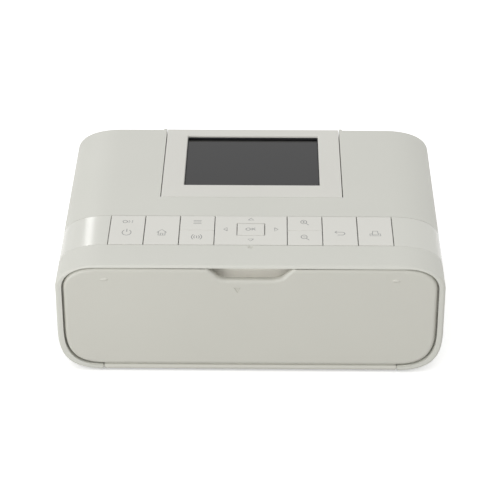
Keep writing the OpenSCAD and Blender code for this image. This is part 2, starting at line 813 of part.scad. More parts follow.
module drive_motor() {
    color(steel) difference() {
        union() {
            rod_x(-plate_x + 0.1, -plate_x + 25, motor, motor_r);
            rod_x(-plate_x - plate_t - 0.3, -plate_x + 1, motor, 2.9);
        }
        rod_x(-plate_x - 4, -plate_x + 12, motor, 1 + running);
    }
}

module motor_pinion() {
    color(steel) {
        gear(teeth_motor, phase_motor, motor, 1);
        rod_x(-gear_x - gear_w - 1, -plate_x + 10, motor, 1);
    }
}

// A steel roller shaft that runs in the bushes and through its gear
module roller_shaft(p) {
    rod_x(-gear_x - gear_w - 1.2, plate_x + plate_t + 1, p, shaft_r);
}

module platen_shaft() {
    color(steel) roller_shaft(platen);
}

module platen_tyre() {
    color(rubber) difference() {
        rod_x(-platen_len / 2, platen_len / 2, platen, platen_r);
        rod_x(-far, far, platen, shaft_r);
    }
}

module platen_gear() {
    color(gear_white) gear(teeth_platen, phase_platen, platen, shaft_r);
}

module capstan_roller() {
    color(steel) {
        roller_shaft(capstan);
        rod_x(-52, 52, capstan, capstan_r);
    }
}

module capstan_gear() {
    color(gear_white) gear(teeth_capstan, phase_capstan, capstan, shaft_r);
}

module pinch_roller() {
    color(rubber) {
        rod_x(-50, 50, pinch, pinch_r);
        rod_x(-plate_x - plate_t - 0.4, plate_x + plate_t + 0.4, pinch, 1.5);
    }
}

module pickup_shaft() {
    color(steel) roller_shaft(pickup);
}

module pickup_tyres() {
    color(rubber) difference() {
        for (x = [-20, 8]) rod_x(x, x + 12, pickup, pickup_r);
        rod_x(-far, far, pickup, shaft_r);
    }
}

module pickup_gear() {
    color(gear_white) gear(teeth_pickup, phase_pickup, pickup, shaft_r);
}

module idler_gear_a() {
    color(gear_white) gear(teeth_a, phase_a, idler_a, 2 + running);
}

module idler_gear_b() {
    color(gear_white) gear(teeth_b, phase_b, idler_b, 2 + running);
}

module idler_gear_c() {
    color(gear_white) gear(teeth_c, phase_c, idler_c, 2 + running);
}

module ribbon_gear() {
    color(gear_white) {
        gear(teeth_ribbon, phase_ribbon, takeup, 1.5);
        rod_x(-gear_x - gear_w - 1, -plate_x + 2.6, takeup, 2.55);
    }
}

// ---- Ribbon cassette ----
tube_x = [-58.5, 66];
tube_t = 1.4;
disc_t = 1.5;
journal_r = 2.4;
module ink_cassette() {
    color(inner_grey) {
        difference() {
            union() {
                for (p = [supply, takeup]) rod_x(tube_x[0], tube_x[1], p, tube_r);
                for (x = [tube_x[0], 55.2])
                    block([x, supply[0], paper_z + 0.4], [x + 3, takeup[0], paper_z + 2.2]);
            }
            for (p = [supply, takeup]) {
                rod_x(tube_x[0] + disc_t, 56.5, p, tube_r - tube_t);
                rod_x(tube_x[0] - 1, 60, p, journal_r + running);
            }
            block([-53, supply[0] + 1, paper_z - 1], [53, supply[0] + tube_r + 1, paper_z + 2.4]);
            block([-53, takeup[0] - tube_r - 1, paper_z - 1], [53, takeup[0] - 1, paper_z + 2.4]);
        }
        along_x(tube_x[1], 2.4) {
            for (p = [supply, takeup]) translate(p) circle(r = tube_r);
            translate([supply[0], spool_z - tube_r]) square([takeup[0] - supply[0], 2 * tube_r]);
        }
        block([tube_x[1] + 2, 23, spool_z - 1.6], [80, 37, spool_z + 1.6]);
    }
}

module spool(p, wound_r) {
    rod_x(-56.6, 56.2, p, 4.5);
    rod_x(-52, 52, p, wound_r);
    rod_x(-58.6, 59.5, p, journal_r);
}

module supply_spool() {
    color([0.55, 0.25, 0.45]) spool(supply, 7.4);
}

module takeup_spool() {
    color([0.30, 0.25, 0.45]) spool(takeup, 6);
}

module ribbon_film() {
    color([0.60, 0.35, 0.50])
        block([-51, supply[0] + 2, paper_z + 0.2], [51, takeup[0] - 2, paper_z + 0.35]);
}

// ---- Thermal head ----
head_y = [27, 33.4];
module thermal_head() {
    color([0.85, 0.80, 0.65]) {
        block([-53, head_y[0] + 0.4, paper_z + 3.2], [53, head_y[1] - 0.4, paper_z + 4]);
        rod_x(-51, 51, [platen[0], paper_z + 3.2], 0.8);
    }
}

module head_sink() {
    fin = 1.2;
    pitch = (head_y[1] - head_y[0] - fin) / 2;
    color(alloy) {
        block([-54, head_y[0], paper_z + 4], [54, head_y[1], paper_z + 9]);
        for (k = [0:2]) block([-54, head_y[0] + pitch * k, paper_z + 8],
                              [54, head_y[0] + pitch * k + fin, paper_z + 18]);
        block([-63.6, 28.3, 38], [63.6, 32.1, 42]);
    }
}

top_cover();
base_cover();
rear_cover();
front_frame();
control_strip();
key_domes();
key_board();
bay_frame();
chassis();
shaft_bushes();
paper_guide();
main_board();
card_board();
card_socket();
usb_socket();
power_board();
dc_socket();
fan_frame();
drive_motor();
ink_cassette();
ribbon_film();
rubber_feet();
case_screws();
front_door();
screen_frame();
screen_back();
lcd_module();
screen_window();
screen_pins();
ink_door();
eject_lever();
power_key();
home_key();
menu_key();
direction_key();
ok_key();
zoom_key();
back_key();
print_key();
platen_shaft();
platen_tyre();
platen_gear();
capstan_roller();
capstan_gear();
pinch_roller();
pickup_shaft();
pickup_tyres();
pickup_gear();
motor_pinion();
idler_gear_a();
idler_gear_b();
idler_gear_c();
ribbon_gear();
supply_spool();
takeup_spool();
thermal_head();
head_sink();
fan_rotor();
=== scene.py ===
import json
from math import cos, pi, radians, sin, tan

import bmesh
import bpy
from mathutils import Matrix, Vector


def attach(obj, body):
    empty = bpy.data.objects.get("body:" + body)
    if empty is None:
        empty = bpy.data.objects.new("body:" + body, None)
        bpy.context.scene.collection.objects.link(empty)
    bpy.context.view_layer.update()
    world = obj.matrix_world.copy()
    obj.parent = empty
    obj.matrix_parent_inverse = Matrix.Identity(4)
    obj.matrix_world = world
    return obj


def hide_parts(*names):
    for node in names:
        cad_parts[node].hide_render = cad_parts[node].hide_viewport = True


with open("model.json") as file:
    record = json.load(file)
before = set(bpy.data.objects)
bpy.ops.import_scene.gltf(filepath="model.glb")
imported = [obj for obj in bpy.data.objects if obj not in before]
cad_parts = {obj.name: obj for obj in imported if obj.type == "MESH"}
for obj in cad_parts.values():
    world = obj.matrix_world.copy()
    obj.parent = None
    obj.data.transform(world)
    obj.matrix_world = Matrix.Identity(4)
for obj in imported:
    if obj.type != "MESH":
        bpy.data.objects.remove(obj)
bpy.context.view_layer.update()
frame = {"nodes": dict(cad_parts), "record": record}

# Compact photo printer: moulded casing, drop-down door, tilting screen and a row of keys.
# Pieces are modelled in millimetres and scaled to metres by the helpers. +Z is up, the door faces -Y.

view = {
    "target": (-0.82, 0, 28.5),     # mm, the point the lens looks at
    "distance": 927.5,              # mm
    "yaw": 0.64,                    # degrees to the right of the door
    "pitch": 28.59,                 # degrees above the desk
    "lens": 134.9,                  # mm on a 36 mm sensor
}
studio = {                          # softboxes: place and size in mm, power in W
    "floorSize": 3000,
    "worldStrength": 0.62,
    "softboxes": {
        "softbox_main": ((-150, -700, 1100), (900, 700), 2.68),         # above the front
        "softbox_front": ((-760, -1050, 180), (900, 320), 4.15),         # low, for the door
        "softbox_left": ((-880, -340, 440), (120, 120), 0.85),          # small: for the glints
        "softbox_right": ((900, -150, 500), (600, 500), 0.5),
        "softbox_back": ((0, 800, 1050), (1100, 200), 0.9),             # for the back edge
        "softbox_rim": ((-330, 760, 500), (60, 260), 0.3),              # a line along the left shoulder
    },
}


def hexLinear(code):                # "#rrggbb" to linear red, green, blue, alpha
    parts = [int(code[i:i + 2], 16) / 255 for i in (1, 3, 5)]
    return [c / 12.92 if c <= 0.04045 else ((c + 0.055) / 1.055) ** 2.4 for c in parts] + [1]


def newMaterial(name):              # an empty node material with its output
    mat = bpy.data.materials.new(name)
    mat.use_nodes = True
    mat.node_tree.nodes.clear()
    return mat


def addNode(owner, kind, settings=None, links=None):   # one node, its settings and what feeds it
    tree = owner.node_tree
    node = tree.nodes.new("ShaderNode" + kind)
    for key, value in (settings or {}).items():
        if isinstance(key, int) or key in node.inputs:
            node.inputs[key].default_value = value
        else:
            setattr(node, key, value)
    for socket, source in (links or {}).items():
        tree.links.new(source, node.inputs[socket])
    return node


def placeCamera():
    yaw, pitch = radians(view["yaw"]), radians(view["pitch"])
    away = Vector((sin(yaw) * cos(pitch), -cos(yaw) * cos(pitch), sin(pitch)))
    target = Vector(view["target"]) / 1000
    lens = bpy.data.cameras.new("studio camera")
    lens.lens = view["lens"]
    lens.sensor_width = 36
    camera = bpy.data.objects.new("studio_camera", lens)
    camera.location = target + away * view["distance"] / 1000
    camera.rotation_euler = (-away).to_track_quat("-Z", "Y").to_euler()
    bpy.context.scene.collection.objects.link(camera)
    bpy.context.scene.camera = camera


def seenRay(owner):                 # 1 where the camera, a gloss or clear plastic sees it directly
    path = addNode(owner, "LightPath")
    gloss = addNode(owner, "Math", {"operation": "MAXIMUM"},
                    {0: path.outputs["Is Camera Ray"], 1: path.outputs["Is Glossy Ray"]})
    return addNode(owner, "Math", {"operation": "MAXIMUM"},
                   {0: gloss.outputs[0], 1: path.outputs["Is Transmission Ray"]})


def paperSweep():                   # white paper under the object: white to the eye, dimmer as a reflector
    mat = newMaterial("white paper sweep")
    seen = seenRay(mat)
    tone = addNode(mat, "Mix", {"data_type": "RGBA", 6: hexLinear("#c4c4c2"), 7: (1, 1, 1, 1)},
                   {0: seen.outputs[0]})
    glow = addNode(mat, "Math", {"operation": "MULTIPLY", 1: 0.4}, {0: seen.outputs[0]})
    paper = addNode(mat, "BsdfPrincipled", {"Roughness": 0.95, "Specular IOR Level": 0.1,
                                            "Emission Color": (1, 1, 1, 1)},
                    {"Base Color": tone.outputs[2], "Emission Strength": glow.outputs[0]})
    addNode(mat, "OutputMaterial", {}, {"Surface": paper.outputs[0]})
    return mat


def addSoftbox(name, place, size, power):
    lamp = bpy.data.lights.new(name, "AREA")
    lamp.shape = "RECTANGLE"
    lamp.size, lamp.size_y = size[0] / 1000, size[1] / 1000
    lamp.energy = power
    holder = bpy.data.objects.new(name, lamp)
    holder.location = Vector(place) / 1000
    holder.rotation_euler = (Vector((0, 0, 0.03)) - holder.location).to_track_quat("-Z", "Y").to_euler()
    bpy.context.scene.collection.objects.link(holder)


def setStudio():
    world = bpy.data.worlds.new("soft white room")
    bpy.context.scene.world = world
    world.use_nodes = True
    world.node_tree.nodes.clear()
    seen = seenRay(world)
    level = addNode(world, "Math", {"operation": "MULTIPLY_ADD", 1: 1 - studio["worldStrength"],
                                    2: studio["worldStrength"]}, {0: seen.outputs[0]})
    room = addNode(world, "Background", {"Color": (1, 1, 1, 1)}, {"Strength": level.outputs[0]})
    addNode(world, "OutputWorld", {}, {"Surface": room.outputs[0]})

    half = studio["floorSize"] / 2000
    bpy.ops.object.select_all(action="DESELECT")
    bpy.ops.mesh.primitive_plane_add(size=half * 2, location=(0, 0, 0))
    floor = bpy.context.object
    floor.name = "studio_floor"
    floor.data.materials.append(paperSweep())

    for name, (place, size, power) in studio["softboxes"].items():
        addSoftbox(name, place, size, power)
    bpy.context.scene.view_settings.view_transform = "Standard"


placeCamera()
setStudio()
print("camera, floor and lamps are in place")


def mouldedAbs(name, colour, roughness=0.42, grain=0.35, depth=0.02):
    # Injection-moulded ABS: spark-eroded mould, so a fine even grain and a soft sheen, no flake
    mat = newMaterial(name)
    place = addNode(mat, "TexCoord")
    perMetre = 1000 / grain                                # grain in mm, drawn coarse enough to show
    grit = addNode(mat, "TexNoise", {"Scale": perMetre, "Detail": 2.0, "Roughness": 0.6},
                   {"Vector": place.outputs["Object"]})
    cloud = addNode(mat, "TexNoise", {"Scale": 1000 / 45, "Detail": 1.0},   # slow change over 45 mm
                    {"Vector": place.outputs["Object"]})
    lighter = [c * 1.02 for c in hexLinear(colour)[:3]] + [1]
    darker = [c * 0.975 for c in hexLinear(colour)[:3]] + [1]
    tone = addNode(mat, "Mix", {"data_type": "RGBA", 6: darker, 7: lighter}, {0: cloud.outputs[0]})
    sheen = addNode(mat, "MapRange", {"To Min": roughness - 0.04, "To Max": roughness + 0.05},
                    {"Value": grit.outputs[0]})
    bump = addNode(mat, "Bump", {"Strength": 0.35, "Distance": depth / 1000}, {"Height": grit.outputs[0]})
    body = addNode(mat, "BsdfPrincipled", {"IOR": 1.53, "Specular IOR Level": 0.42},
                   {"Base Color": tone.outputs[2], "Roughness": sheen.outputs[0],
                    "Normal": bump.outputs[0]})
    addNode(mat, "OutputMaterial", {}, {"Surface": body.outputs[0]})
    return mat


def brushedMetal(name, colour, along=(1, 0, 0), roughness=0.34, line=0.35):
    # Bare metal keeps the lines of its rolling, drawing or extruding: long streaks one way
    mat = newMaterial(name)
    place = addNode(mat, "TexCoord")
    long, fine = 1000 / 30, 1000 / line                    # streaks 30 mm long, drawn wide enough to show
    stretch = addNode(mat, "Mapping", {"Scale": [long if a else fine for a in along]},
                      {"Vector": place.outputs["Object"]})
    streaks = addNode(mat, "TexNoise", {"Scale": 1.0, "Detail": 3.0, "Roughness": 0.55},
                      {"Vector": stretch.outputs[0]})
    dark = [c * 0.86 for c in hexLinear(colour)[:3]] + [1]
    tone = addNode(mat, "Mix", {"data_type": "RGBA", 6: dark, 7: hexLinear(colour)}, {0: streaks.outputs[0]})
    sheen = addNode(mat, "MapRange", {"To Min": roughness - 0.08, "To Max": roughness + 0.1},
                    {"Value": streaks.outputs[0]})
    bump = addNode(mat, "Bump", {"Strength": 0.2, "Distance": 0.00001}, {"Height": streaks.outputs[0]})
    body = addNode(mat, "BsdfPrincipled", {"Metallic": 1.0},
                   {"Base Color": tone.outputs[2], "Roughness": sheen.outputs[0], "Normal": bump.outputs[0]})
    addNode(mat, "OutputMaterial", {}, {"Surface": body.outputs[0]})
    return mat


def sinteredBronze(name, colour="#a98654"):
    # Pressed and sintered powder: dull metal with pores that hold oil
    mat = newMaterial(name)
    place = addNode(mat, "TexCoord")
    pores = addNode(mat, "TexVoronoi", {"Scale": 1000 / 0.4}, {"Vector": place.outputs["Object"]})
    dark = [c * 0.6 for c in hexLinear(colour)[:3]] + [1]
    depth = addNode(mat, "MapRange", {"From Max": 0.35}, {"Value": pores.outputs["Distance"]})
    tone = addNode(mat, "Mix", {"data_type": "RGBA", 6: dark, 7: hexLinear(colour)}, {0: depth.outputs[0]})
    bump = addNode(mat, "Bump", {"Strength": 0.3, "Distance": 0.00002}, {"Height": depth.outputs[0]})
    body = addNode(mat, "BsdfPrincipled", {"Metallic": 1.0, "Roughness": 0.48},
                   {"Base Color": tone.outputs[2], "Normal": bump.outputs[0]})
    addNode(mat, "OutputMaterial", {}, {"Surface": body.outputs[0]})
    return mat


def nitrileRubber(name, colour="#232325", roughness=0.72, grain=0.3):
    # Moulded or ground rubber: dark, matt, with a dusty bloom that lightens it in places
    mat = newMaterial(name)
    place = addNode(mat, "TexCoord")
    grit = addNode(mat, "TexNoise", {"Scale": 1000 / grain, "Detail": 3.0},
                   {"Vector": place.outputs["Object"]})
    bloom = addNode(mat, "TexNoise", {"Scale": 1000 / 8, "Detail": 2.0}, {"Vector": place.outputs["Object"]})
    pale = [c * 1.5 + 0.004 for c in hexLinear(colour)[:3]] + [1]
    tone = addNode(mat, "Mix", {"data_type": "RGBA", 6: hexLinear(colour), 7: pale}, {0: bloom.outputs[0]})
    sheen = addNode(mat, "MapRange", {"To Min": roughness - 0.08, "To Max": roughness + 0.08},
                    {"Value": grit.outputs[0]})
    bump = addNode(mat, "Bump", {"Strength": 0.4, "Distance": 0.00003}, {"Height": grit.outputs[0]})
    body = addNode(mat, "BsdfPrincipled", {"IOR": 1.52, "Specular IOR Level": 0.35},
                   {"Base Color": tone.outputs[2], "Roughness": sheen.outputs[0], "Normal": bump.outputs[0]})
    addNode(mat, "OutputMaterial", {}, {"Surface": body.outputs[0]})
    return mat


def solderMask(name, board="#1d5a39", track="#2f7a4d"):
    # Glass-epoxy board: green mask, slightly raised and paler where copper tracks run below it
    mat = newMaterial(name)
    place = addNode(mat, "TexCoord")
    tracks = addNode(mat, "TexBrick", {"Scale": 1000 / 6, "Mortar Size": 0.06, "Mortar Smooth": 0.1,
                                       "Brick Width": 0.9, "Row Height": 0.28,
                                       "Color1": hexLinear(board), "Color2": hexLinear(board),
                                       "Mortar": hexLinear(track)}, {"Vector": place.outputs["Object"]})
    weave = addNode(mat, "TexNoise", {"Scale": 1000 / 0.8, "Detail": 2.0},
                    {"Vector": place.outputs["Object"]})
    sheen = addNode(mat, "MapRange", {"To Min": 0.26, "To Max": 0.4}, {"Value": weave.outputs[0]})
    bump = addNode(mat, "Bump", {"Strength": 0.3, "Distance": 0.00004}, {"Height": tracks.outputs["Fac"]})
    body = addNode(mat, "BsdfPrincipled", {"IOR": 1.55},
                   {"Base Color": tracks.outputs["Color"], "Roughness": sheen.outputs[0],
                    "Normal": bump.outputs[0]})
    addNode(mat, "OutputMaterial", {}, {"Surface": body.outputs[0]})
    return mat


def smokedAcrylic(name, colour="#0c0c0d"):
    # Hard-coated acrylic over a panel that is off: nearly black below a clear even gloss
    mat = newMaterial(name)
    place = addNode(mat, "TexCoord")
    haze = addNode(mat, "TexNoise", {"Scale": 1000 / 20, "Detail": 2.0}, {"Vector": place.outputs["Object"]})
    pale = [c * 1.25 for c in hexLinear(colour)[:3]] + [1]
    tone = addNode(mat, "Mix", {"data_type": "RGBA", 6: hexLinear(colour), 7: pale}, {0: haze.outputs[0]})
    sheen = addNode(mat, "MapRange", {"To Min": 0.07, "To Max": 0.1}, {"Value": haze.outputs[0]})
    body = addNode(mat, "BsdfPrincipled", {"IOR": 1.49, "Specular IOR Level": 0.43},
                   {"Base Color": tone.outputs[2], "Roughness": sheen.outputs[0]})
    addNode(mat, "OutputMaterial", {}, {"Surface": body.outputs[0]})
    return mat


def dyeFilm(name, colour="#6b3c66"):
    # Thin polyester film with a dye coat: smooth, glossy, faint streaks along its run
    mat = newMaterial(name)
    place = addNode(mat, "TexCoord")
    stretch = addNode(mat, "Mapping", {"Scale": (1000 / 1.2, 1000 / 40, 1000 / 40)},
                      {"Vector": place.outputs["Object"]})
    streaks = addNode(mat, "TexNoise", {"Scale": 1.0, "Detail": 2.0}, {"Vector": stretch.outputs[0]})
    deep = [c * 0.8 for c in hexLinear(colour)[:3]] + [1]
    tone = addNode(mat, "Mix", {"data_type": "RGBA", 6: deep, 7: hexLinear(colour)}, {0: streaks.outputs[0]})
    sheen = addNode(mat, "MapRange", {"To Min": 0.14, "To Max": 0.24}, {"Value": streaks.outputs[0]})
    body = addNode(mat, "BsdfPrincipled", {"IOR": 1.6},
                   {"Base Color": tone.outputs[2], "Roughness": sheen.outputs[0]})
    addNode(mat, "OutputMaterial", {}, {"Surface": body.outputs[0]})
    return mat


finish = {
    "shell_white": mouldedAbs("warm white moulded ABS", "#d6d6ce", 0.5),
    "door_white": mouldedAbs("door moulded ABS", "#d0cfc6", 0.3),
    "key_white": mouldedAbs("key moulded ABS", "#d9d9d1", 0.2, 0.35, 0.008),
    "inner_grey": mouldedAbs("grey moulded ABS", "#8f9191", 0.55),
    "dark_plastic": mouldedAbs("black moulded PBT", "#2a2a2c", 0.5),
    "screen_glass": smokedAcrylic("smoked hard-coated acrylic"),
    "steel": brushedMetal("rolled zinc-plated steel", "#b3b6b9"),
    "aluminium": brushedMetal("extruded aluminium", "#c6c8ca", (1, 0, 0), 0.28, 0.25),
    "ceramic": mouldedAbs("glazed alumina", "#cfc8b4", 0.2, 0.5, 0.004),
    "rubber": nitrileRubber("black nitrile rubber"),
    "dome_rubber": nitrileRubber("pale silicone rubber", "#b7b7b2", 0.58),
    "board_green": solderMask("green solder mask"),
    "bush_bronze": sinteredBronze("sintered bronze"),
    "gear_acetal": mouldedAbs("natural acetal", "#e2dfd4", 0.34, 0.4, 0.008),
    "ribbon": dyeFilm("dye film"),
}
bezelWhite = mouldedAbs("bezel moulded ABS", "#dbdad3", 0.45)   # a shade lighter than the casing
capWhite = mouldedAbs("key cap moulded ABS", "#e0dfd8", 0.24, 0.35, 0.008)
palePanelPaintedLight = mouldedAbs("pale moulded ABS with painted light", "#f3f0e8", 0.45)    # the panel behind the front door: a pale plastic, made paler than the casing as painted light for the shade in the notch
printInk = mouldedAbs("grey pad-printed ink", "#8a8b8a", 0.6, 0.2, 0.002)     # thin dull film on the keys


def dressNodes():                   # the CAD pieces that stay get their finish from the record's slots
    for entry in frame["record"]["subparts"]:
        piece = frame["nodes"][entry["node"]]
        piece.data.materials.clear()
        piece.data.materials.append(finish.get(entry["material_slot"], finish["inner_grey"]))


dressNodes()
print("materials are made")


# The modelling helpers from here on take millimetres
def pickOnly(piece):                # nothing but this piece selected, and active
    if bpy.context.object and bpy.context.object.mode == "EDIT":
        bpy.ops.object.mode_set(mode="OBJECT")
    bpy.ops.object.select_all(action="DESELECT")
    piece.select_set(True)
    bpy.context.view_layer.objects.active = piece


def settle(piece, name):            # name it and put its place, turn and size into its mesh
    pickOnly(piece)
    piece.name = piece.data.name = name
    bpy.ops.object.transform_apply(location=True, rotation=True, scale=True)
    return piece


def addBlock(name, low, high):      # a block between its lowest and highest corner
    bpy.ops.object.select_all(action="DESELECT")
    bpy.ops.mesh.primitive_cube_add(size=1, location=[(a + b) / 2000 for a, b in zip(low, high)])
    bpy.context.object.scale = [abs(b - a) / 1000 for a, b in zip(low, high)]
    return settle(bpy.context.object, name)


def addRod(name, start, axis, length, radius, sides=48):    # a rod from start along X, Y or Z
    turn = {"X": (0, pi / 2, 0), "Y": (-pi / 2, 0, 0), "Z": (0, 0, 0)}[axis]
    middle = [v / 1000 for v in start]
    middle["XYZ".index(axis)] += length / 2000
    bpy.ops.object.select_all(action="DESELECT")
    bpy.ops.mesh.primitive_cylinder_add(vertices=sides, radius=radius / 1000, depth=length / 1000,
                                        location=middle, rotation=turn)
    return settle(bpy.context.object, name)


def choose(piece, kind, test):      # edit mode, with only the parts selected whose place passes the test
    pickOnly(piece)
    bpy.ops.object.mode_set(mode="EDIT")
    bpy.ops.mesh.select_mode(type=kind)
    bpy.ops.mesh.select_all(action="DESELECT")
    shape = bmesh.from_edit_mesh(piece.data)
    for part in {"VERT": shape.verts, "EDGE": shape.edges, "FACE": shape.faces}[kind]:
        if kind == "VERT":
            hit = test(part.co * 1000)
        elif kind == "EDGE":
            hit = test(part.verts[0].co * 1000, part.verts[1].co * 1000)
        else:
            hit = test(part.calc_center_median() * 1000, part.normal)
        if hit:
            part.select_set(True)
    shape.select_flush_mode()
    bmesh.update_edit_mesh(piece.data)


def leaveEdit():
    bpy.ops.object.mode_set(mode="OBJECT")


def applyModifier(piece, kind, **settings):
    pickOnly(piece)
    modifier = piece.modifiers.new(kind.lower(), kind)
    for key, value in settings.items():
        setattr(modifier, key, value)
    bpy.ops.object.modifier_apply(modifier=modifier.name)


def carve(piece, cutter, operation="DIFFERENCE"):           # the cutter is used up
    applyModifier(piece, "BOOLEAN", object=cutter, operation=operation, solver="EXACT")
    bpy.data.objects.remove(cutter)
    choose(piece, "VERT", lambda p: True)
    bpy.ops.mesh.remove_doubles(threshold=0.000003)         # slivers where two cuts meet
    leaveEdit()


def merge(first, *others):          # several meshes become one piece
    pickOnly(first)
    for other in others:
        other.select_set(True)
    bpy.ops.object.join()
    return first


def layOnDeck(piece):               # from the sloping top's own coordinates to the desk's
    piece.rotation_euler = (radians(casing["slope"]), 0, 0)
    piece.location = (0, 0, deckHeight / 1000)
    return settle(piece, piece.name)


def softenEdges(piece, width, segments=2, angle=32):        # moulded edges: no edge is quite sharp
    applyModifier(piece, "BEVEL", width=width / 1000, segments=segments, limit_method="ANGLE",
                  angle_limit=radians(angle), use_clamp_overlap=True, miter_outer="MITER_ARC")
    pickOnly(piece)
    bpy.ops.object.shade_smooth_by_angle(angle=radians(40))
    applyModifier(piece, "WEIGHTED_NORMAL", weight=80, keep_sharp=True)


def put(piece, body, slotName, *nodes, coat=None):          # finish, body and the nodes it stands for
    piece.data.materials.clear()
    piece.data.materials.append(coat or finish[slotName])
    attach(piece, body)
    if nodes:
        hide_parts(*nodes)
    return piece


slotOf = {entry["node"]: entry["material_slot"] for entry in frame["record"]["subparts"]}
bodyOf = {node: body for body, nodes in frame["record"]["behaviour"]["bodies"].items() for node in nodes}


def softCopy(node, name, width=0.2, segments=2, angle=30, coat=None):
    # A moulded or pressed piece in its exact CAD shape: a copy, merged, with its edges rounded
    piece = bpy.data.objects.new(name, frame["nodes"][node].data.copy())
    bpy.context.scene.collection.objects.link(piece)
    piece.data.name = name
    choose(piece, "FACE", lambda c, n: True)
    bpy.ops.mesh.remove_doubles(threshold=0.000005)
    bpy.ops.mesh.tris_convert_to_quads(face_threshold=radians(1), shape_threshold=radians(180))
    leaveEdit()
    softenEdges(piece, width, segments, angle)
    return put(piece, bodyOf[node], slotOf[node], node, coat=coat)


casing = {                          # mm, with heights above the desk
    "halfWidth": 90.3, "frontY": -67.95, "backY": 67.95, "bottom": 1.1, "top": 63.3,
    "slope": 2.6,                   # degrees, fall of the top towards the door
    "waist": 40,                    # height where the roof's and the belly's corners are kept apart
    "roofCorner": (23.7, 12.3), "bellyCorner": (24, 23),
    "roofShape": 0.547, "bellyShape": 0.63,                 # bevel profiles, both squarer than an ellipse
    "taper": (-0.006, 0.0033),      # change of the width at the front and at the back
    "cornerSteps": 16, "wall": 2, "seamX": 69, "gap": 0.5, "wellGap": 0.4, "edge": 0.3,
    "frontRoll": 1.3, "backRoll": 2.8,                      # rounding of the rims round door and back
    "postX": 66, "postY": (-56, -16.5), "postLow": 4.7, "post": 2.6, "pilot": 1.1,
    "well": (-8.2, 1.5), "wellSide": 1.6,                   # floor of the screen's well, and its walls
    "pinPlay": 0.05,                # the holes of all hinge pins are this much wider in radius
    "vents": 7, "ventPitch": 3.6, "ventMiddle": (-28, 34), "ventSize": (2, 22),
    "ports": (((86, -53.2, 26.4), (92, -27.3, 30)),         # memory card
              ((86, -24.2, 26.4), (92, -10.2, 33.2))),      # USB plug
    "relief": (0.35, 0.7, 75, 8),   # wider gap where the door's lower edge swings: growth, depth, limits
    "nub": 0.7,                     # small feet beside the door's hinge
    "feet": ((-58, -54), (58, -54), (-58, 56), (58, 56)), "footRadius": 5,
    "footRim": 1.1, "footDish": 0.3,                        # the rim stands, the middle is hollow
}
deckHeight = casing["top"] - casing["backY"] * tan(radians(casing["slope"]))


def shapeCorners(piece, waist, top, corner, steps):
    # Rounds the two long edges above or below the waist: stretched so that the corner is as high as
    # it is wide, bevelled, and pressed back
    side = 1 if top > waist else -1
    stretch = corner[0] / corner[1]
    far = lambda p: (p.z - waist) * side > 1
    choose(piece, "VERT", far)
    bpy.ops.transform.resize(value=(1, 1, stretch), center_override=(0, 0, waist / 1000))
    choose(piece, "EDGE", lambda a, b: far(a) and far(b) and abs(a.y - b.y) > 1 and abs(a.x - b.x) < 0.01)
    bpy.ops.mesh.bevel(offset=corner[0] / 1000, segments=steps,
                       profile=casing["roofShape" if side > 0 else "bellyShape"], affect="EDGES")
    choose(piece, "VERT", far)
    bpy.ops.transform.resize(value=(1, 1, 1 / stretch), center_override=(0, 0, waist / 1000))
    leaveEdit()


def roundedSlab(name, half, y0, y1, low, top, waist, lowCorner, topCorner, steps):
    # A slab along Y with four rounded corners, seen from the front
    piece = addBlock(name, (-half, y0, low), (half, y1, top))
    choose(piece, "FACE", lambda c, n: True)
    bpy.ops.mesh.bisect(plane_co=(0, 0, waist / 1000), plane_no=(0, 0, 1))
    leaveEdit()
    shapeCorners(piece, waist, top, topCorner, steps)
    shapeCorners(piece, waist, low, lowCorner, steps)
    return piece


def casingHull(name, inset=0, past=0):      # the outer form of the closed printer as a solid, or its inside
    c = casing
    shrunk = lambda corner: (corner[0] - inset, corner[1] - inset)
    rise = tan(radians(c["slope"]))
    piece = roundedSlab(name, c["halfWidth"] - inset, c["frontY"] - past, c["backY"] + past,
                        c["bottom"] + inset, c["top"] - inset + past * rise, c["waist"],
                        shrunk(c["bellyCorner"]), shrunk(c["roofCorner"]), c["cornerSteps"])
    fall = (c["backY"] - c["frontY"] + 2 * past) * rise
    choose(piece, "VERT", lambda p: p.y < 0 and p.z > c["waist"] + 1)
    bpy.ops.transform.translate(value=(0, 0, -fall / 1000))
    for side, change in zip((-1, 1), c["taper"]):
        choose(piece, "VERT", lambda p: p.y * side > 0)
        bpy.ops.transform.resize(value=(1 + change, 1, 1), center_override=(0, 0, 0))
        leaveEdit()
    return piece


def rollRim(piece, y, radius):              # rounds the rim of the hull at one end
    choose(piece, "EDGE", lambda a, b: abs(a.y - y) < 0.01 and abs(b.y - y) < 0.01)
    bpy.ops.mesh.bevel(offset=radius / 1000, segments=4, affect="EDGES")
    leaveEdit()


def doorSlab(name, grow, y0, y1):
    d = door
    grown = lambda corner: (corner[0] + grow, corner[1] + grow)
    return roundedSlab(name, d["half"] + grow, y0, y1, d["low"] - grow, d["top"] + grow, d["waist"],
                       grown(d["lowCorner"]), grown(d["topCorner"]), casing["cornerSteps"])


